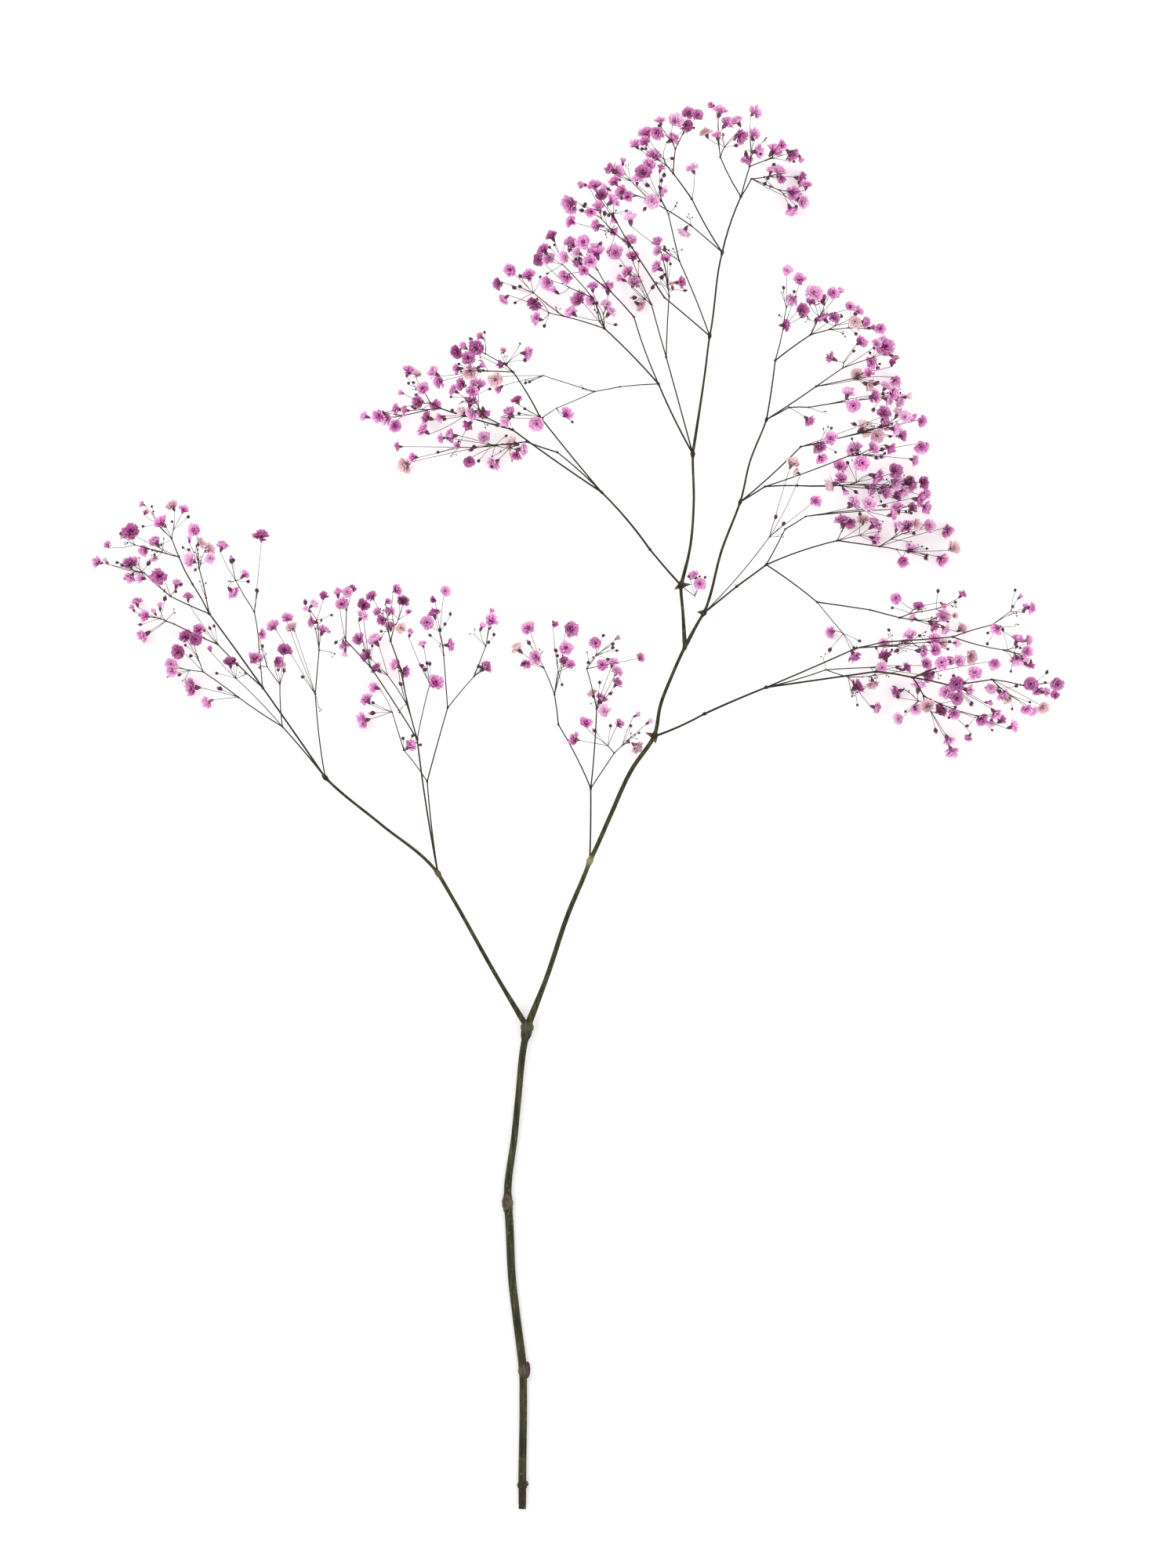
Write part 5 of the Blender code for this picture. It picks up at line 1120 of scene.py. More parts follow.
@dataclass
class MeshParts:
    """Corners, faces and named numbers of a mesh as it is gathered, in millimetres."""

    corners: List[Array] = field(default_factory=list)
    faces: List[Tuple[int, ...]] = field(default_factory=list)
    slots: List[int] = field(default_factory=list)
    numbers: Dict[str, List[float]] = field(default_factory=dict)
    smooth: bool = True

    def corner(self, place: Sequence[float], **numbers: float) -> int:
        """Add a corner.

        Args:
            place: where it is.
            numbers: its named numbers; those that it lacks are nought.

        Returns:
            Its row.
        """
        for name, value in numbers.items():
            self.numbers.setdefault(name, [0.0] * len(self.corners)).append(value)
        self.corners.append(np.array(place, float))
        for values in self.numbers.values():
            if len(values) < len(self.corners):
                values.append(0.0)
        return len(self.corners) - 1

    def face(self, *rows: int, slot: int = 0) -> None:
        """Add a face over corners, in the order that points it outwards."""
        self.faces.append(rows)
        self.slots.append(slot)

    def ring(self, middle: Array, side: Array, up: Array, radii: Array, **numbers: float) -> List[int]:
        """Add a ring of corners.

        Args:
            middle: its middle.
            side: the direction of its first corner.
            up: the direction of the corner a quarter turn on.
            radii: how far out each corner is.
            numbers: the corners' named numbers.

        Returns:
            Their rows.
        """
        turns = np.arange(len(radii)) * 2 * math.pi / len(radii)
        return [
            self.corner(middle + radius * (math.cos(turn) * side + math.sin(turn) * up), **numbers)
            for radius, turn in zip(radii, turns)
        ]

    def bands(self, rings: Sequence[Sequence[int]], slot: int = 0) -> None:
        """Join each ring of corners to the next with a band of faces."""
        for low, high in zip(rings, rings[1:]):
            for i in range(len(low)):
                j = (i + 1) % len(low)
                self.face(low[i], low[j], high[j], high[i], slot=slot)

    def fan(self, rim: Sequence[int], tip: int, slot: int = 0) -> None:
        """Join a ring of corners to a tip."""
        for i, row in enumerate(rim):
            self.face(row, rim[(i + 1) % len(rim)], tip, slot=slot)

    def mesh(self, name: str, scale: float = MM) -> Mesh:
        """Make the Blender mesh.

        Args:
            name: its name.
            scale: what the corners are multiplied by.

        Returns:
            The mesh, with its faces' slots as material numbers.
        """
        mesh = bpy.data.meshes.new(name)
        mesh.from_pydata([tuple(corner * scale) for corner in self.corners], [], self.faces)
        number_points(mesh, **self.numbers)
        mesh.polygons.foreach_set("material_index", self.slots)
        mesh.polygons.foreach_set("use_smooth", [self.smooth] * len(self.faces))
        mesh.update()
        return mesh

    def form(self, name: str, store: bpy.types.Collection) -> None:
        """Put it in a store as a form for a recipe to repeat, its slots as the numbers of its parts."""
        mesh = self.mesh(name, 1.0)
        mesh.attributes.new("part", "INT", "FACE").data.foreach_set("value", self.slots)
        mesh.polygons.foreach_set("material_index", [0] * len(self.slots))
        store.objects.link(bpy.data.objects.new(name, mesh))

    def settle(self, name: str, skin: Material, slot: str, *nodes: str) -> None:
        """Put it in the scene as a piece with one finish, which may stand for CAD nodes."""
        mesh = self.mesh(name)
        mesh.materials.append(skin)
        settle_piece(mesh, name, slot, *nodes)


class Bloom(Enum):
    """How far a floret or bud has opened, with the numbers of its forms among all forms."""

    FULL = (0, 1, 2, 3)
    LOOSE = (4, 5)
    HALF_OPEN = (6, 7)
    DARK_BUD = (8,)
    PINK_BUD = (9, 10)


@dataclass(frozen=True)
class Whorl:
    """One ring of petals, in shares of the floret's radius.

    Args:
        petals: how many there are.
        reach: how far out their tips come.
        root: how high they start.
        tip: how high their tips stand.
        width: how wide they are.
        notch: how deep the cut in each tip is.
    """

    petals: int
    reach: float
    root: float
    tip: float
    width: float
    notch: float = 0.05


WHORLS = {
    Bloom.FULL: (
        Whorl(8, 1.0, -0.4, 0.05, 0.84),
        Whorl(8, 0.86, -0.32, 0.3, 0.68),
        Whorl(7, 0.62, -0.22, 0.5, 0.56),
        Whorl(5, 0.34, -0.1, 0.62, 0.44),
    ),
    Bloom.LOOSE: (
        Whorl(7, 1.04, -0.4, 0.25, 0.8, 0.1),
        Whorl(6, 0.78, -0.3, 0.5, 0.66, 0.1),
        Whorl(4, 0.42, -0.2, 0.66, 0.46, 0.1),
    ),
    Bloom.HALF_OPEN: (Whorl(6, 0.66, -0.45, 0.55, 0.62), Whorl(5, 0.42, -0.35, 0.76, 0.46)),
}
BUD_WHORL = Whorl(5, 0.34, 0.1, 1.0, 0.62, 0.1)

# The skins of florets and buds as heights and widths of their rings, closed where a width is nought
CALYX_CUP = ((-1.0, 0.1), (-0.62, 0.27), (-0.28, 0.3))
PINK_BUD_CUP = ((-1.0, 0.2), (-0.55, 0.6), (0.0, 0.68), (0.35, 0.52))
DARK_BUD_CUP = ((-0.95, 0.25), (-0.5, 0.8), (0.3, 0.85), (0.75, 0.4), (1.0, 0.0))
CALYX_SIDES = 5
PETAL, CALYX, BUD = range(3)


@dataclass
class FloretForms:
    """The shapes that are repeated as florets and buds, each a few dozen faces round a radius of one.

    Args:
        seed: the source of the petals' unevenness.
        ruffle: how uneven the petals are, in shares of the radius.
    """

    seed: int = 11
    ruffle: float = 0.11
    shoulder_reach: float = 0.62
    shoulder_width: float = 0.9
    tip_reach: float = 0.97
    tip_width: float = 0.8
    fold: float = 0.1

    def petal(self, parts: MeshParts, whorl: Whorl, turn: float, chance: Chance) -> None:
        """Add one notched petal, folded along its middle.

        Args:
            parts: the form that it belongs to.
            whorl: its ring.
            turn: where in the ring it is, in radians.
            chance: the seeded source of chance.
        """
        out = math.cos(turn) * ACROSS + math.sin(turn) * ALONG
        side = -math.sin(turn) * ACROSS + math.cos(turn) * ALONG
        swing = chance.normal(scale=self.ruffle, size=6)
        reach = whorl.reach * (1 + swing[0])
        tip = whorl.tip + swing[1]
        half = whorl.width / 2 * (1 + swing[2])
        bend = 0.3 * whorl.root + 0.7 * tip + 0.04
        root = parts.corner(0.06 * out + whorl.root * UP, petal_run=0.0)
        far = self.shoulder_reach * reach * out
        wide = self.shoulder_width * half * side
        left = parts.corner(far + wide + (bend + swing[3]) * UP, petal_run=0.6)
        right = parts.corner(far - wide + (bend + swing[4]) * UP, petal_run=0.6)
        notch = parts.corner(reach * (1 - whorl.notch) * out + (tip - self.fold) * UP, petal_run=0.8)
        far = self.tip_reach * reach * out
        wide = self.tip_width * half * side
        left_tip = parts.corner(far + wide + (tip + swing[5]) * UP, petal_run=1.0)
        right_tip = parts.corner(far - wide + (tip - swing[5]) * UP, petal_run=1.0)
        parts.face(root, notch, left_tip, left, slot=PETAL)
        parts.face(root, right, right_tip, notch, slot=PETAL)

    def cup(self, parts: MeshParts, profile: Sequence[Tuple[float, float]], slot: int) -> None:
        """Add the skin of a calyx or bud.

        Args:
            parts: the form that it belongs to.
            profile: the height and width of each of its rings, from below.
            slot: the form's part that it is.
        """
        rings = []
        for i, (height, width) in enumerate(profile):
            run = i / (len(profile) - 1)
            if width:
                rings.append(parts.ring(height * UP, ACROSS, ALONG, [width] * CALYX_SIDES, petal_run=run))
            else:
                parts.fan(rings[-1], parts.corner(height * UP, petal_run=run), slot)
        parts.face(*reversed(rings[0]), slot=slot)
        parts.bands(rings, slot)

    def form(self, bloom: Bloom, chance: Chance) -> MeshParts:
        """Shape one floret or bud.

        Args:
            bloom: how far it has opened.
            chance: the seeded source of chance.

        Returns:
            Its corners and faces.
        """
        parts = MeshParts(smooth=bloom in (Bloom.DARK_BUD, Bloom.PINK_BUD))
        if bloom is Bloom.DARK_BUD:
            self.cup(parts, DARK_BUD_CUP, BUD)
            return parts
        if bloom is Bloom.PINK_BUD:
            self.cup(parts, PINK_BUD_CUP, BUD)
            for i in range(BUD_WHORL.petals):
                self.petal(parts, BUD_WHORL, i * 2 * math.pi / BUD_WHORL.petals, chance)
            return parts
        for ring, whorl in enumerate(WHORLS[bloom]):
            for i in range(whorl.petals):
                turn = (i + ring * 0.5) * 2 * math.pi / whorl.petals + chance.normal(scale=self.ruffle)
                self.petal(parts, whorl, turn, chance)
        self.cup(parts, CALYX_CUP, CALYX)
        return parts

    def collection(self) -> bpy.types.Collection:
        """Put every form in a collection of its own, out of the scene."""
        chance = np.random.default_rng(self.seed)
        store = bpy.data.collections.new("floret_forms")
        for bloom in Bloom:
            for number in bloom.value:
                self.form(bloom, chance).form(f"form_{number:02d}", store)
        return store


@dataclass
class KnuckleForms:
    """The swollen fork with its pair of tiny bracts, in half thicknesses of its twig."""

    sides: int = 6
    profile: Tuple[Range, ...] = ((-2.6, 0.95), (-1.1, 1.5), (0.4, 1.75), (1.3, 1.1))
    bract_out: float = 1.35
    bract_half_width: float = 1.1

    def collection(self) -> bpy.types.Collection:
        """Put the knuckle's form in a collection of its own, out of the scene."""
        parts = MeshParts()
        rings = [
            parts.ring(height * UP, ACROSS, ALONG, [width] * self.sides, browning=1.0)
            for height, width in self.profile
        ]
        parts.bands(rings)
        parts.face(*reversed(rings[0]))
        parts.face(*rings[-1])
        for hand in (-1, 1):
            out = hand * ACROSS
            foot = self.bract_out * out - 0.6 * UP
            edge = self.bract_half_width * hand * ALONG
            left = parts.corner(foot - edge, browning=1.0)
            right = parts.corner(foot + edge, browning=1.0)
            keel = parts.corner(foot + 0.9 * out + 0.6 * UP, browning=1.0)
            tip = parts.corner(foot + 1.9 * out + 3.0 * UP, browning=0.8)
            for corners in ((left, keel, tip), (keel, right, tip), (right, left, tip), (left, right, keel)):
                parts.face(*corners, slot=1)
        store = bpy.data.collections.new("knuckle_forms")
        parts.form("knuckle_00", store)
        return store


class NodeRecipe(NodeTree):
    """A Geometry Nodes tree with named inputs, run once on a mesh to give a plain mesh."""

    def __init__(self, name: str) -> None:
        """Start a tree that takes a geometry and gives one."""
        super().__init__(bpy.data.node_groups.new(name, "GeometryNodeTree"))
        self.sockets: Dict[str, str] = {}
        for way in ("INPUT", "OUTPUT"):
            self.tree.interface.new_socket("Geometry", in_out=way, socket_type="NodeSocketGeometry")
        self.taken = self.tree.nodes.new("NodeGroupInput")
        self.given = self.tree.nodes.new("NodeGroupOutput")

    def ask(self, name: str, kind: str) -> Socket:
        """Add a named input, and return its socket inside the tree."""
        socket = self.tree.interface.new_socket(name, in_out="INPUT", socket_type="NodeSocket" + kind)
        self.sockets[name] = socket.identifier
        return self.taken.outputs[name]

    def number(self, name: str, data_type: str = "FLOAT") -> Socket:
        """The numbers that the points hold under a name."""
        node = self.add("GeometryNodeInputNamedAttribute", data_type=data_type, Name=name)
        return node.outputs["Attribute"]

    def run(self, mesh: Mesh, name: str, **values: object) -> Mesh:
        """Run the tree on a mesh.

        Args:
            mesh: the points or edges to start from.
            name: the name of the result.
            values: the tree's named inputs.

        Returns:
            A plain mesh with nothing live on it.
        """
        carrier = bpy.data.objects.new(name + "_carrier", mesh)
        bpy.context.scene.collection.objects.link(carrier)
        modifier = carrier.modifiers.new("recipe", "NODES")
        modifier.node_group = self.tree
        for key, value in values.items():
            modifier[self.sockets[key]] = value
        bpy.context.view_layer.update()
        seen = carrier.evaluated_get(bpy.context.evaluated_depsgraph_get())
        result = bpy.data.meshes.new_from_object(seen)
        carrier.modifiers.clear()
        bpy.data.objects.remove(carrier)
        bpy.data.meshes.remove(mesh)
        result.name = name
        return result


class ScatterRecipe(NodeRecipe):
    """Puts a numbered form on every point, turned to its facing, and gives each part its material."""

    def __init__(self, name: str, materials: Sequence[str]) -> None:
        """Build the tree.

        Args:
            name: its name.
            materials: the names of its material inputs, one for each part of a form.
        """
        super().__init__(name)
        forms = self.add(
            "GeometryNodeCollectionInfo",
            Collection=self.ask("Forms", "Collection"),
            Separate_Children=True,
            Reset_Children=True,
        )
        facing = self.number("facing", "FLOAT_VECTOR")
        aim = self.add("FunctionNodeAlignRotationToVector", axis="Z", Vector=facing)
        spin = self.add("FunctionNodeAxisAngleToRotation", Axis=(0, 0, 1), Angle=self.number("spin"))
        turn = self.add(
            "FunctionNodeRotateRotation",
            rotation_space="LOCAL",
            Rotation=aim.outputs["Rotation"],
            Rotate_By=spin.outputs["Rotation"],
        )
        put = self.add(
            "GeometryNodeInstanceOnPoints",
            Points=self.taken.outputs["Geometry"],
            Instance=forms.outputs["Instances"],
            Pick_Instance=True,
            Instance_Index=self.number("form", "INT"),
            Rotation=turn.outputs["Rotation"],
            Scale=self.math("MULTIPLY", self.number("radius"), self.ask("Fullness", "Float")),
        )
        real = self.add("GeometryNodeRealizeInstances", Geometry=put.outputs["Instances"])
        geometry = real.outputs["Geometry"]
        for part, material in enumerate(materials):
            chosen = self.add("FunctionNodeCompare", data_type="INT", operation="EQUAL")
            self.feed(chosen.inputs[2], self.number("part", "INT"))
            self.feed(chosen.inputs[3], part)
            dress = self.add(
                "GeometryNodeSetMaterial",
                Geometry=geometry,
                Selection=chosen.outputs["Result"],
                Material=self.ask(material, "Material"),
            )
            geometry = dress.outputs["Geometry"]
        self.feed(self.given.inputs["Geometry"], geometry)


class TwigRecipe(NodeRecipe):
    """Runs a round rod along every edge path, as thick as its points say."""

    def __init__(self) -> None:
        """Build the tree."""
        super().__init__("twig_rods")
        path = self.add("GeometryNodeMeshToCurve", Mesh=self.taken.outputs["Geometry"])
        ring = self.add("GeometryNodeCurvePrimitiveCircle", Resolution=self.ask("Sides", "Int"), Radius=1.0)
        rod = self.add(
            "GeometryNodeCurveToMesh",
            Curve=path.outputs["Curve"],
            Profile_Curve=ring.outputs["Curve"],
            Scale=self.math("MULTIPLY", self.number("half_width"), self.ask("Fullness", "Float")),
            Fill_Caps=True,
        )
        real = self.add("GeometryNodeRealizeInstances", Geometry=rod.outputs["Mesh"])
        smooth = self.add("GeometryNodeSetShadeSmooth", Geometry=real.outputs["Geometry"])
        skin = self.ask("Skin", "Material")
        dress = self.add("GeometryNodeSetMaterial", Geometry=smooth.outputs["Geometry"], Material=skin)
        self.feed(self.given.inputs["Geometry"], dress.outputs["Geometry"])


def settle_piece(mesh: Mesh, name: str, slot: str, *nodes: str) -> None:
    """Put a finished mesh in the scene as a piece of the plant.

    Args:
        mesh: the mesh, already in its place and in metres.
        name: the piece's name.
        slot: the record's material slot; not used.
        nodes: the CAD nodes that it stands for.
    """
    piece = bpy.data.objects.new(name, mesh)
    bpy.context.scene.collection.objects.link(piece)
    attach(piece, root_body())
    if nodes:
        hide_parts(*nodes)
    LOG.info("%s: %d faces", name, len(mesh.polygons))


@dataclass
class Stalk:
    """One stout limb: a smooth, faintly ridged rod that swells at its nodes.

    Args:
        limb: its name, which is also its CAD node's.
        habit: the plant's habit, for the place of its base.
        foot_flare: how much wider it is where it leaves its parent.
        ridge_depth: the height of its ridges, as a share of its half thickness.
        groove_depth: the depth of the grooves beside a node, as the same share.
        groove_width: how far a groove runs along it, in millimetres.
        groove_offset: how far from the node a groove is.
        browning_reach: how far a node's brown runs along it.
        cut_face: the rings of its cut, each in shares of the last: how wide, how far in, and how pale.
    """

    limb: str
    habit: Habit
    sides: int = 20
    ring_step: float = 0.9
    foot_flare: float = 1.45
    ridge_depth: float = 0.03
    groove_depth: float = 0.1
    groove_width: float = 0.35
    groove_offset: float = 1.9
    browning_reach: float = 2.6
    skin_depth: float = 0.06
    plain_tint: Range = (0.8, 0.0)
    crown: float = 0.5
    cut_face: Tuple[Triple, ...] = ((0.84, 0.0, 0.0), (0.78, 0.12, 1.0), (0.2, 0.1, 1.0))

    def line(self) -> List[Tuple[Array, float, str]]:
        """Its points, each with its half thickness and its node's name where it is one."""
        base = LIMBS[self.limb][0]
        line = limb_points(self.limb)
        if base:
            line.insert(0, (self.habit.nodes[base][0], line[0][1] * self.foot_flare, base))
        return line

    def rings(self) -> Iterator[Tuple[Array, Array, float, float]]:
        """Its rings: middle, heading, half thickness and distance along it."""
        line = self.line()
        places = np.array([row[0] for row in line])
        widths = np.array([row[1] for row in line]) + self.skin_depth
        spans = np.linalg.norm(np.diff(places, axis=0), axis=1)
        marks = np.concatenate([[0.0], np.cumsum(spans)])
        slopes = np.gradient(places, marks, axis=0)
        for i, span in enumerate(spans):
            steps = max(2, round(span / self.ring_step))
            last = steps + (i == len(spans) - 1)
            for share in np.arange(last) / steps:
                ahead = share * share * (3 - 2 * share)
                rise = share * (1 - share) ** 2 * span
                dip = share * share * (share - 1) * span
                place = places[i] * (1 - ahead) + places[i + 1] * ahead
                place = place + slopes[i] * rise + slopes[i + 1] * dip
                heading = unit(slopes[i] * (1 - share) + slopes[i + 1] * share)
                width = widths[i] * (1 - ahead) + widths[i + 1] * ahead
                yield place, heading, width, marks[i] + share * span

    def node_marks(self) -> Tuple[Array, Array]:
        """How far along it each of its nodes is, and how brown and pale each one is."""
        line = self.line()
        spans = [0.0] + [float(np.linalg.norm(b[0] - a[0])) for a, b in zip(line, line[1:])]
        marks = [mark for mark, row in zip(np.cumsum(spans), line) if row[2]]
        tints = [NODE_TINTS.get(row[2], self.plain_tint) for row in line if row[2]]
        return np.array(marks), np.array(tints)

    def radii(self, width: float, along: float, marks: Array) -> Array:
        """How far out each corner of a ring is, with its ridges and the grooves beside the nodes.

        Args:
            width: the ring's half thickness.
            along: how far along the limb it is.
            marks: how far along the nodes are.

        Returns:
            One distance for each side.
        """
        turns = np.arange(self.sides) * 2 * math.pi / self.sides
        phase = 2 * math.pi * (len(self.limb) % 7) / 7
        ridges = 0.5 * np.sin(3 * turns + phase + along / 23) + 0.35 * np.sin(5 * turns - along / 31)
        ridges += 0.3 * np.sin(2 * turns + along / 3.1) * math.sin(along / 5.3)
        grooves = np.array([marks - self.groove_offset, marks + self.groove_offset])
        groove = np.exp(-(((along - grooves) / self.groove_width) ** 2)).sum()
        return width * (1 + self.ridge_depth * ridges) * (1 - self.groove_depth * groove)

    def build(self, skin: Material) -> None:
        """Model and dress it."""
        parts = MeshParts()
        marks, tints = self.node_marks()
        cut = self.limb == "main_stem"
        rings = []
        side = None
        for place, heading, width, along in self.rings():
            side = np.cross(heading, [0.3, 0.1, 1.0]) if side is None else side - side.dot(heading) * heading
            side = unit(side)
            nearness = np.exp(-(((along - marks) / self.browning_reach) ** 2))
            browning, paleness = (nearness[:, None] * tints).max(axis=0)
            if cut and along < marks[1]:
                browning = 1.0
            radii = self.radii(width, along, marks)
            up = np.cross(heading, side)
            rings.append(parts.ring(place, side, up, radii, browning=browning, pith=paleness))
            if len(rings) == 1:
                self.close(parts, rings[0], place, -heading, cut)
        parts.bands(rings)
        parts.fan(rings[-1], parts.corner(place + heading * width * self.crown, browning=1.0))
        parts.settle(self.limb + "_stalk", skin, "stem", self.limb)

    def close(self, parts: MeshParts, rim: List[int], place: Array, out: Array, cut: bool) -> None:
        """Close its foot: a pale pith inside a bark rim where it was cut, or a plain end.

        Args:
            parts: its mesh so far.
            rim: its first ring.
            place: the ring's middle.
            out: the direction that the foot faces.
            cut: whether it was cut.
        """
        rings = [list(reversed(rim))]
        for share, sink, pith in self.cut_face if cut else ():
            spots = [place + (parts.corners[row] - place) * share - out * sink for row in rings[-1]]
            rings.append([parts.corner(spot, browning=1.0, pith=pith) for spot in spots])
        parts.bands(rings)
        parts.fan(rings[-1], parts.corner(place, browning=1.0, pith=1.0))


@dataclass
class Scar:
    """An old scar on a node: an oval rim round a sunken core, or a snapped-off stub.

    Args:
        name: the piece's name.
        middle: the middle of its foot, in millimetres.
        out: the direction that it faces.
        along: the direction of its longer half.
        long_half: half its length.
        short_half: half its width.
        height: how far its rim stands up.
        sink: how far its core lies below the rim.
        stain: how far the core's dark red runs over the rim.
    """

    name: str
    middle: Triple
    out: Triple
    along: Triple
    long_half: float
    short_half: float
    height: float
    sink: float
    stain: float = 0.0
    sides: int = 20
    unevenness: float = 0.08
    seed: int = 3

    def profile(self) -> Tuple[Triple, ...]:
        """Its rings from the foot inwards: how wide, how high, and how much of the core's red each has."""
        return (
            (1.15, 0.0, 0.0),
            (1.1, 0.45, 0.0),
            (0.95, 0.95, 0.0),
            (0.78, 1.0, 0.0),
            (0.62, 0.9 - self.sink * 0.6, 0.5),
            (0.35, 0.9 - self.sink, 1.0),
        )

    def build(self, skin: Material) -> None:
        """Model and dress it."""
        out = unit(np.array(self.out))
        along = unit(np.array(self.along) - np.dot(self.along, out) * out)
        across = np.cross(out, along)
        chance = np.random.default_rng(self.seed)
        uneven = 1 + chance.normal(scale=self.unevenness, size=self.sides)
        turns = np.arange(self.sides) * 2 * math.pi / self.sides
        parts = MeshParts()
        rings = []
        for share, height, core in self.profile():
            middle = np.array(self.middle) + out * self.height * height
            ring = []
            for turn, reach in zip(turns, share * uneven):
                place = middle + along * math.cos(turn) * reach * self.long_half
                place = place + across * math.sin(turn) * reach * self.short_half
                ring.append(parts.corner(place, core=max(core, self.stain)))
            rings.append(ring)
        parts.bands(rings)
        parts.face(*reversed(rings[0]))
        parts.face(*rings[-1])
        parts.settle(self.name, skin, "bract")


@dataclass
class Bract:
    """One dry papery bract: a keeled, curling scale that stands out of its node.

    Args:
        name: its name, which is also its CAD node's.
        node: the node that it grows from.
        aim: the direction that it points.
        length: its length in millimetres.
        keel: how far its edges rise over its keel, in half widths.
        curl: how far its tip curls up.
        upper: its upper outline: across in half widths, and up in keels.
        sunk_share: how much of the node's half thickness lies under its foot.
    """

    name: str
    node: str
    aim: Triple
    length: float
    half_width: float = 1.15
    thickness: float = 0.12
    keel: float = 0.35
    curl: float = 0.9
    steps: int = 9
    upper: Tuple[Range, ...] = ((-1, 0.6), (-0.5, 0.2), (0, 0), (0.5, 0.2), (1, 0.6))
    sunk_share: float = 0.45
    narrowing: float = 0.75
    bulge: float = 0.18
    sag: float = 0.4

    def build(self, habit: Habit, skin: Material) -> None:
        """Model and dress it."""
        place, limb = habit.nodes[self.node]
        swelling = next(half for _, half, name in limb_points(limb) if name == self.node)
        aim = unit(np.array(self.aim))
        side = unit(np.cross(aim, [0.2, 0.1, 1.0]))
        up = np.cross(side, aim)
        foot = place + aim * swelling * (1 - self.sunk_share)
        reach = self.length + swelling * self.sunk_share
        outline = [(*spot, 0.0) for spot in self.upper]
        outline += [(*spot, self.thickness) for spot in self.upper[3:0:-1]]
        parts = MeshParts()
        rings = []
        for share in np.arange(self.steps) / self.steps:
            half = self.half_width * (1 - share) ** self.narrowing
            half *= 1 + self.bulge * math.sin(5 * share)
            middle = foot + aim * reach * share + up * self.curl * (share**2 - self.sag * share)
            ring = [
                parts.corner(middle + side * across * half + up * (lift * self.keel * half - drop))
                for across, lift, drop in outline
            ]
            rings.append(ring[::-1])
        parts.face(*reversed(rings[0]))
        parts.bands(rings)
        parts.fan(rings[-1], parts.corner(foot + aim * reach + up * self.curl * (1 - self.sag)))
        parts.settle(self.name + "_scale", skin, "bract", self.name)


@dataclass
class Finishes:
    """Every material of the plant, made once."""

    stalk: Material
    twig: Material
    petal: Material
    calyx: Material
    bud: Material
    bract: Material
    scar: Material


class Spot(NamedTuple):
    """One form on a twig: where, which way, how big, which, how turned, and its dye's tone and fading."""

    place: Array
    facing: Array
    radius: float
    form: int
    spin: float
    tone: float = 0.5
    fade: float = 0.0


def spot_mesh(spots: Sequence[Spot]) -> Mesh:
    """The spots as loose points with named numbers, in metres."""
    places, facings, radii, forms, spins, tones, fades = map(np.array, zip(*spots))
    mesh = bpy.data.meshes.new("spots")
    mesh.vertices.add(len(places))
    mesh.vertices.foreach_set("co", (places * MM).ravel())
    facing = mesh.attributes.new("facing", "FLOAT_VECTOR", "POINT")
    facing.data.foreach_set("vector", facings.ravel())
    mesh.attributes.new("form", "INT", "POINT").data.foreach_set("value", forms)
    number_points(mesh, radius=radii * MM, spin=spins, tone=tones, fade=fades)
    return mesh


@dataclass
class Rods:
    """Thin twigs as runs of points, each with its half thickness and how brown it is."""

    rows: List[tuple] = field(default_factory=list)
    edges: List[Tuple[int, int]] = field(default_factory=list)

    def run(self, places: Array, half_widths: Sequence[float], brownings: Sequence[float]) -> None:
        """Add one twig.

        Args:
            places: its points, in millimetres.
            half_widths: its half thickness at each.
            brownings: how brown it is at each.
        """
        first = len(self.rows)
        self.rows.extend(zip(places, half_widths, brownings))
        self.edges.extend((row, row + 1) for row in range(first, len(self.rows) - 1))

    def mesh(self) -> Mesh:
        """The twigs as edges with named numbers, in metres."""
        places, half_widths, brownings = map(np.array, zip(*self.rows))
        mesh = bpy.data.meshes.new("rods")
        mesh.from_pydata([tuple(place * MM) for place in places], self.edges, [])
        number_points(mesh, half_width=half_widths * MM, browning=brownings)
        return mesh


@dataclass
class SprigKit:
    """What every sprig is made with: the recipes, the forms and the finishes."""

    finishes: Finishes

    def __post_init__(self) -> None:
        """Build the trees and forms once."""
        self.rods = TwigRecipe()
        self.florets = ScatterRecipe("florets_on_twigs", ["Petal", "Calyx", "Bud"])
        self.knuckles = ScatterRecipe("knuckles_at_forks", ["Twig", "Bract"])
        self.floret_forms = FloretForms().collection()
        self.knuckle_forms = KnuckleForms().collection()

    def put_away(self) -> None:
        """Remove the forms and trees once the pieces are plain meshes."""
        for store in (self.floret_forms, self.knuckle_forms):
            for form in list(store.objects):
                bpy.data.objects.remove(form)
            bpy.data.collections.remove(store)
        for recipe in (self.rods, self.florets, self.knuckles):
            bpy.data.node_groups.remove(recipe.tree)


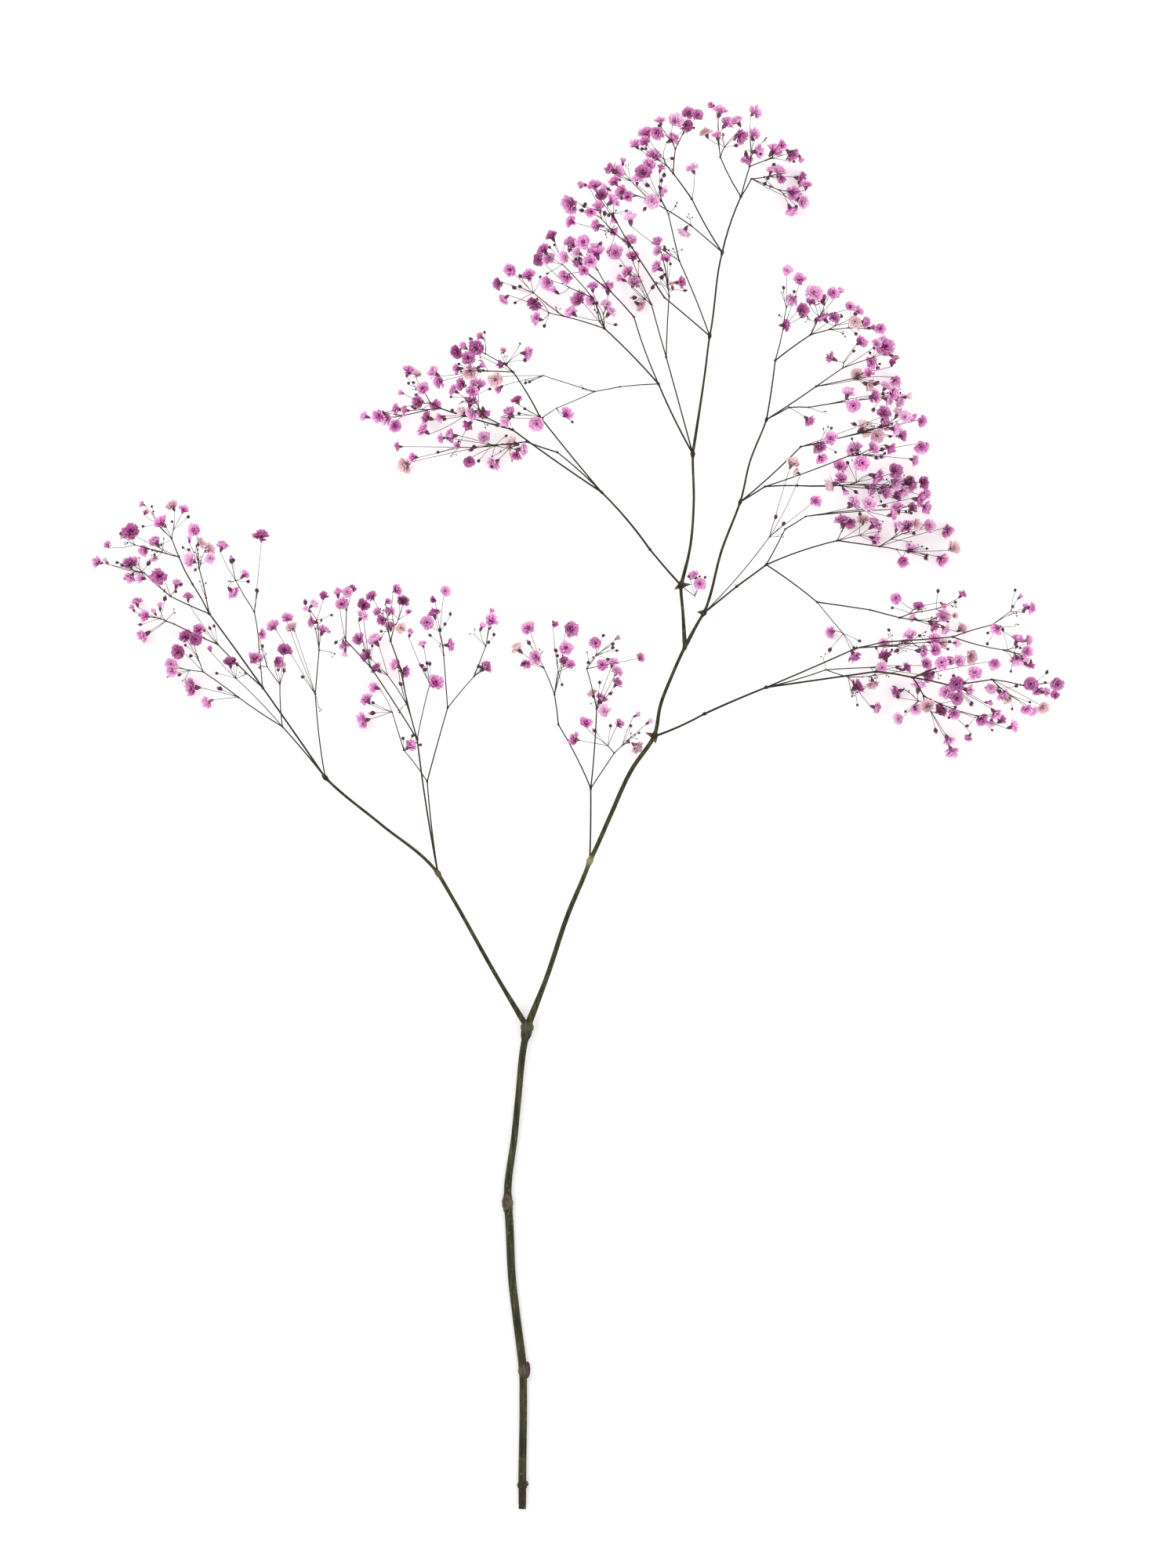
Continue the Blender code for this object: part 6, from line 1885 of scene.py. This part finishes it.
@dataclass
class Sprig:
    """One flowering sprig: its twigs and knuckles as one piece, its florets and buds as another.

    Args:
        name: its name, which is also its CAD node's.
        twigs: its twigs.
        buds: the places of its buds, each with the fork that bears it.
        habit: the plant's habit.
    """

    name: str
    twigs: List[Twig]
    buds: List[Tuple[Array, Array]]
    habit: Habit
    pedicel_half_width: float = 0.15
    slimness: float = 0.66
    point_spacing: float = 5.0
    fewest_points: int = 3
    most_points: int = 10
    bow: float = 0.025
    longest_bowed: float = 40.0
    twig_taper: Range = (1.12, 0.95)
    pedicel_taper: Range = (1.1, 0.9)
    pedicel_browning: Range = (0.5, 1.0)
    pedicel_bow: float = 0.12
    longest_bowed_pedicel: float = 14.0
    middle_browning: float = 0.25
    added_at_ends: float = 0.6
    floret_foot: float = 0.95
    towards_sky: float = 0.7
    facing_scatter: float = 0.55
    least_height: float = 1.02
    full_share: float = 0.85
    least_full_radius: float = 2.3
    small_half_open_share: float = 0.45
    small_loose_share: float = 0.75
    faded_share: float = 0.1
    fading: Range = (0.65, 1.0)
    pink_bud_share: float = 0.35
    pink_bud_radii: Range = (1.25, 1.9)
    dark_bud_radii: Range = (0.8, 1.2)
    bud_stem_half_widths: tuple = (0.15, 0.12, 0.11, 0.14)
    bud_stem_brownings: tuple = (0.4, 0.6, 0.8, 1.0)
    bud_stem_bow: float = 0.04
    bud_scatter: float = 0.25
    bud_foot: float = 0.9
    spur_share: float = 0.5
    most_on_spurred: int = 9
    spur_scatter: Triple = (0.8, 0.8, 0.5)
    spur_lengths: Range = (3.0, 8.5)
    spur_half_widths: Triple = (0.16, 0.13, 0.14)
    spur_brownings: Triple = (0.6, 0.5, 0.9)
    spur_bow: float = 0.2
    least_spur_height: float = 1.5
    spur_tips: Tuple[int, int] = (2, 4)
    spur_tip_scatter: float = 0.6
    spur_tip_lengths: Range = (1.5, 4.0)
    spur_tip_half_widths: Triple = (0.12, 0.1, 0.11)
    spur_tip_brownings: Triple = (0.7, 0.8, 1.0)
    least_tip_height: float = 1.0
    speck_radii: Range = (0.35, 0.6)
    rods: Rods = field(default_factory=Rods)
    knuckles: List[Spot] = field(default_factory=list)
    flowers: List[Spot] = field(default_factory=list)

    def half_width(self, twig: Twig) -> float:
        """Half a twig's width as it is drawn: a hair for a pedicel, else slimmer than its stout solid."""
        if twig.floret is not None:
            return self.pedicel_half_width
        return PEDICEL_HALF_WIDTH * (twig.half_width / PEDICEL_HALF_WIDTH) ** self.slimness

    def curve(self, start: Array, end: Array, pull: Array, points: int) -> Array:
        """Draw a bowed run of points.

        Args:
            start: its first point.
            end: its last point.
            pull: where its middle is pulled to, from midway.
            points: how many points it has.

        Returns:
            The points in rows.
        """
        shares = np.linspace(0, 1, points)[:, None]
        middle = (start + end) / 2 + pull
        return start * (1 - shares) ** 2 + 2 * middle * shares * (1 - shares) + end * shares**2

    def draw(self) -> None:
        """Lay out all of its rods, knuckles, florets and buds."""
        chance = np.random.default_rng(sum(map(ord, self.name)))
        for twig in self.twigs:
            length = np.linalg.norm(twig.end - twig.start)
            points = int(np.clip(length / self.point_spacing, self.fewest_points, self.most_points))
            if twig.floret is None:
                bow = chance.normal(size=3) * self.bow * min(length, self.longest_bowed)
                path = self.curve(twig.start, twig.end, bow, points)
                farness = np.abs(np.linspace(-1, 1, points)) ** 4
                browning = self.middle_browning + self.added_at_ends * farness
                half_width = self.half_width(twig)
                self.rods.run(path, half_width * np.linspace(*self.twig_taper, points), browning)
                spin = chance.uniform(*ANY_TURN)
                self.knuckles.append(Spot(twig.end, twig.heading, half_width, 0, spin))
            else:
                self.add_floret(twig, length, points, chance)
        for place, fork in self.buds:
            self.add_bud(place, fork, chance)
        for twig in self.twigs:
            few = twig.floret is None and len(twig.florets) < self.most_on_spurred
            if few and chance.random() < self.spur_share:
                self.add_spur(twig, chance)

    def add_floret(self, twig: Twig, length: float, points: int, chance: Chance) -> None:
        """Set one floret on its pedicel.

        Args:
            twig: its pedicel.
            length: how long that is.
            points: how many points it is drawn with.
            chance: the seeded source of chance.
        """
        solid_radius = self.habit.radii[twig.floret]
        radius = solid_radius * CROWN_REACH.get(self.name.split("_")[0], PETAL_REACH)
        scatter = chance.normal(size=3) * self.facing_scatter
        facing = unit(twig.heading + scatter + self.towards_sky * UP)
        place = np.array([*twig.end[:2], max(twig.end[2], radius * self.least_height)])
        foot = place - facing * radius * self.floret_foot
        pull = -facing * min(length, self.longest_bowed_pedicel) * self.pedicel_bow
        self.rods.run(
            self.curve(twig.start, foot, pull, points),
            np.linspace(*self.pedicel_taper, points) * self.half_width(twig),
            np.linspace(*self.pedicel_browning, points),
        )
        draw = chance.random()
        if solid_radius >= self.least_full_radius:
            bloom = Bloom.FULL if draw < self.full_share else Bloom.LOOSE
        elif draw < self.small_half_open_share:
            bloom = Bloom.HALF_OPEN
        else:
            bloom = Bloom.LOOSE if draw < self.small_loose_share else Bloom.FULL
        fade = chance.uniform(*self.fading) if chance.random() < self.faded_share else 0.0
        form = int(chance.choice(bloom.value))
        spin = chance.uniform(*ANY_TURN)
        self.flowers.append(Spot(place, facing, radius, form, spin, chance.random(), fade))

    def add_bud(self, place: Array, fork: Array, chance: Chance) -> None:
        """Set one bud on a hair-thin pedicel.

        Args:
            place: the bud's middle.
            fork: where its pedicel springs from.
            chance: the seeded source of chance.
        """
        run = place - fork
        pink = chance.random() < self.pink_bud_share
        radius = chance.uniform(*(self.pink_bud_radii if pink else self.dark_bud_radii))
        facing = unit(unit(run) + chance.normal(size=3) * self.bud_scatter)
        foot = place - facing * radius * self.bud_foot
        pull = chance.normal(size=3) * self.bud_stem_bow * np.linalg.norm(run)
        stem = self.curve(fork, foot, pull, len(self.bud_stem_half_widths))
        self.rods.run(stem, self.bud_stem_half_widths, self.bud_stem_brownings)
        form = int(chance.choice((Bloom.PINK_BUD if pink else Bloom.DARK_BUD).value))
        spin = chance.uniform(*ANY_TURN)
        self.flowers.append(Spot(place, facing, radius, form, spin, chance.random()))

    def add_spur(self, twig: Twig, chance: Chance) -> None:
        """Let a bare twiglet spring from a fork, parted at its tip, with a speck of a bud on each end.

        Args:
            twig: the twig whose end it springs from.
            chance: the seeded source of chance.
        """
        aim = unit(twig.heading + chance.normal(size=3) * self.spur_scatter)
        fork = twig.end + aim * chance.uniform(*self.spur_lengths)
        fork[2] = max(fork[2], self.least_spur_height)
        stem = self.curve(twig.end, fork, chance.normal(size=3) * self.spur_bow, 3)
        self.rods.run(stem, self.spur_half_widths, self.spur_brownings)
        for _ in range(int(chance.integers(*self.spur_tips))):
            way = unit(aim + chance.normal(size=3) * self.spur_tip_scatter)
            tip = fork + way * chance.uniform(*self.spur_tip_lengths)
            tip[2] = max(tip[2], self.least_tip_height)
            run = self.curve(fork, tip, np.zeros(3), 3)
            self.rods.run(run, self.spur_tip_half_widths, self.spur_tip_brownings)
            form = int(chance.choice(Bloom.DARK_BUD.value))
            radius = chance.uniform(*self.speck_radii)
            spin = chance.uniform(*ANY_TURN)
            self.flowers.append(Spot(tip, unit(tip - fork), radius, form, spin, chance.random()))

    def build(self, kit: SprigKit) -> None:
        """Model and dress both of its pieces."""
        self.draw()
        finishes = kit.finishes
        name = self.name.replace("_sprig", "")
        twigs = kit.rods.run(self.rods.mesh(), "rods", Sides=6, Fullness=1.0, Skin=finishes.twig)
        if self.knuckles:
            knuckles = kit.knuckles.run(
                spot_mesh(self.knuckles),
                "knuckles",
                Forms=kit.knuckle_forms,
                Fullness=1.0,
                Twig=finishes.twig,
                Bract=finishes.bract,
            )
            twigs = join_meshes(twigs, knuckles)
        twigs.name = name + "_twigs"
        settle_piece(twigs, name + "_twigs", "stem", self.name)
        if self.flowers:
            flowers = kit.florets.run(
                spot_mesh(self.flowers),
                name + "_florets",
                Forms=kit.floret_forms,
                Fullness=1.0,
                Petal=finishes.petal,
                Calyx=finishes.calyx,
                Bud=finishes.bud,
            )
            settle_piece(flowers, name + "_florets", "sprig", self.name)


def join_meshes(*meshes: Mesh) -> Mesh:
    """Join meshes, with their materials and named numbers, into one."""
    objects = [bpy.data.objects.new(mesh.name, mesh) for mesh in meshes]
    for item in objects:
        bpy.context.scene.collection.objects.link(item)
    with bpy.context.temp_override(active_object=objects[0], selected_editable_objects=objects):
        bpy.ops.object.join()
    joined = objects[0].data
    bpy.data.objects.remove(objects[0])
    return joined


@dataclass
class BudRule:
    """Where the buds hang: round the tufts, each from the nearest fork of the tuft's twigs.

    Args:
        seed: the source of their scatter.
        candidates: how many places are tried for each.
        spread: how far past the florets of a tuft they may lie, as a factor.
        least_room: how far past them they may lie at least, in millimetres.
        room: the clear space that each keeps round it.
        longest_pedicel: how far from its fork it may be.
    """

    seed: int = 5
    candidates: int = 8
    spread: float = 1.6
    least_room: float = 3.5
    least_height: float = 2.0
    room: float = 1.2
    longest_pedicel: float = 11.0

    def place(self, habit: Habit) -> Dict[str, List[Tuple[Array, Array]]]:
        """Draw every bud.

        Args:
            habit: the grown plant.

        Returns:
            For each sprig, its buds and the forks that bear them.
        """
        chance = np.random.default_rng(self.seed)
        owner = {fork: piece for piece, _, forks in shoots() for fork, *_ in forks}
        twigs = [twig for sprig in habit.twigs_by_piece().values() for twig in sprig]
        start_of = {twig.floret: twig.start for twig in twigs if twig.floret is not None}
        spots = list(habit.places)
        rooms = list(habit.radii)
        result: Dict[str, List[Tuple[Array, Array]]] = {}
        for fork, _, buds, _, group in tufts():
            tuft = habit.places[group]
            forks = [start_of[floret] for floret in group]
            half_sizes = (np.ptp(tuft, axis=0) / 2 + self.least_room) * self.spread
            for _ in range(buds):
                aims = chance.normal(size=(self.candidates, 3))
                aims *= (chance.random(self.candidates) ** (1 / 3) / np.linalg.norm(aims, axis=1))[:, None]
                choices = tuft.mean(axis=0) + aims * half_sizes
                choices[:, 2] = np.maximum(choices[:, 2], self.least_height)
                apart = np.linalg.norm(choices[:, None] - np.array(spots)[None], axis=2)
                choice = choices[np.argmax((apart - np.array(rooms)[None]).min(axis=1))]
                anchor = min(forks, key=lambda spot: np.linalg.norm(spot - choice))
                run = choice - anchor
                length = np.linalg.norm(run)
                if length > self.longest_pedicel:
                    choice = anchor + run * self.longest_pedicel / length
                spots.append(choice)
                rooms.append(self.room)
                result.setdefault(owner[fork], []).append((choice, anchor))
        return result


@dataclass
class Studio:
    """The plain pale floor, the soft light and the camera straight above.

    Args:
        view_middle: the point under the camera, in millimetres.
        view_height: how much of the floor the picture's longer side takes in, in millimetres.
        view_level: the height at which that holds.
        camera_height: how high the camera is, in millimetres.
        lamps: each lamp's name, place in metres and share of that power.
    """

    view_middle: Range = (5.6, 11.2)
    view_height: float = 800.0
    view_level: float = 25.0
    camera_height: float = 10000.0
    sensor: float = 36.0
    floor_size: float = 16.0
    floor_level: float = -0.05
    floor_glow: float = 0.15
    sky_strength: float = 1.0
    lamp_size: float = 2.2
    lamp_power: float = 26.0
    lamps: tuple = (("key_softbox", (-1.7, 1.3, 2.4), 1.0), ("fill_softbox", (1.9, -0.9, 2.2), 0.45))

    def build(self) -> None:
        """Set everything up."""
        self.hang_camera()
        self.lay_floor()
        self.light()
        bpy.context.scene.view_settings.view_transform = "Standard"

    def hang_camera(self) -> None:
        """Hang the camera over the plant."""
        camera = bpy.data.cameras.new("photo_camera")
        camera.sensor_fit = "VERTICAL"
        camera.sensor_height = self.sensor
        camera.lens = self.sensor * (self.camera_height - self.view_level) / self.view_height
        camera.clip_end = 100.0
        holder = bpy.data.objects.new("photo_camera", camera)
        holder.location = (self.view_middle[0] * MM, self.view_middle[1] * MM, self.camera_height * MM)
        bpy.context.scene.collection.objects.link(holder)
        bpy.context.scene.camera = holder

    def lay_floor(self) -> None:
        """Lay the floor."""
        floor = MeshParts(smooth=False)
        half = self.floor_size / 2 / MM
        corners = ((-half, -half), (half, -half), (half, half), (-half, half))
        floor.face(*[floor.corner((x, y, self.floor_level)) for x, y in corners])
        mesh = floor.mesh("studio_floor")
        tree = ShaderTree("studio_floor_paper")
        tree.set("Base Color", tree.ramp(tree.noise(40.0, 2.0), (0.3, "f4f3f1"), (0.7, "f7f6f4")))
        tree.set("Roughness", 0.9)
        tree.set("Emission Color", WHITE)
        tree.set("Emission Strength", self.floor_glow)
        mesh.materials.append(tree.material)
        plane = bpy.data.objects.new("studio_floor", mesh)
        bpy.context.scene.collection.objects.link(plane)

    def light(self) -> None:
        """Light it from all round and from two soft lamps."""
        world = bpy.data.worlds.new("soft_studio")
        world.use_nodes = True
        sky = world.node_tree.nodes["Background"]
        sky.inputs["Color"].default_value = WHITE
        sky.inputs["Strength"].default_value = self.sky_strength
        bpy.context.scene.world = world
        for name, place, share in self.lamps:
            lamp = bpy.data.lights.new(name, "AREA")
            lamp.shape = "DISK"
            lamp.size = self.lamp_size
            lamp.energy = self.lamp_power * share
            stand = bpy.data.objects.new(name, lamp)
            stand.location = place
            stand.rotation_euler = (-Vector(place)).to_track_quat("-Z", "Y").to_euler()
            bpy.context.scene.collection.objects.link(stand)


SCARS = (
    Scar("oval_scar", (-36.3, -202.6, 4.9), (-0.15, 0.0, 1.0), (0.1, 1.0, 0.0), 3.6, 2.0, 1.0, 0.6),
    Scar("side_scar", (-25.8, -288.4, 3.2), (1.0, 0.0, 0.35), (0.12, 1.0, 0.0), 3.3, 1.8, 1.5, 0.7, 0.75),
    Scar("foot_stub", (-26.2, -346.5, 3.0), (1.0, 0.5, 0.2), (0.0, 1.0, 0.0), 1.1, 0.9, 1.2, 0.5),
)

BRACTS = (
    Bract("leader_bract_left", "leader_node_2", (-0.85, 0.35, 0.4), 4.2),
    Bract("leader_bract_lower", "leader_node_2", (0.1, -0.75, 0.7), 4.0),
    Bract("upper_bract_right", "upper_node_1", (0.95, 0.1, -0.2), 3.8),
    Bract("upper_bract_lower", "upper_node_1", (-0.75, -0.45, 0.5), 3.4),
    Bract("right_bract", "right_node_1", (-0.9, 0.1, 0.45), 3.2),
)


def main() -> None:
    """Build the studio and the plant, piece by piece."""
    logging.basicConfig(level=logging.INFO, format="%(name)s: %(message)s")
    Studio().build()
    habit = Habit()
    LOG.info("%d florets settled", len(habit.radii))
    finishes = Finishes(
        StalkFinish().material(),
        TwigFinish().material(),
        PetalFinish().material(),
        CalyxFinish().material(),
        CalyxFinish("bud_skin", "4a2138", "3a1530", "541f45").material(),
        BractFinish().material(),
        ScarFinish().material(),
    )
    for limb in LIMBS:
        Stalk(limb, habit).build(finishes.stalk)
    for scar in SCARS:
        scar.build(finishes.scar)
    for bract in BRACTS:
        bract.build(habit, finishes.bract)
    kit = SprigKit(finishes)
    buds = BudRule().place(habit)
    for name, twigs in habit.twigs_by_piece().items():
        Sprig(name, twigs, buds.get(name, []), habit).build(kit)
    kit.put_away()


if __name__ == "__main__":
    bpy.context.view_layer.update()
    main()
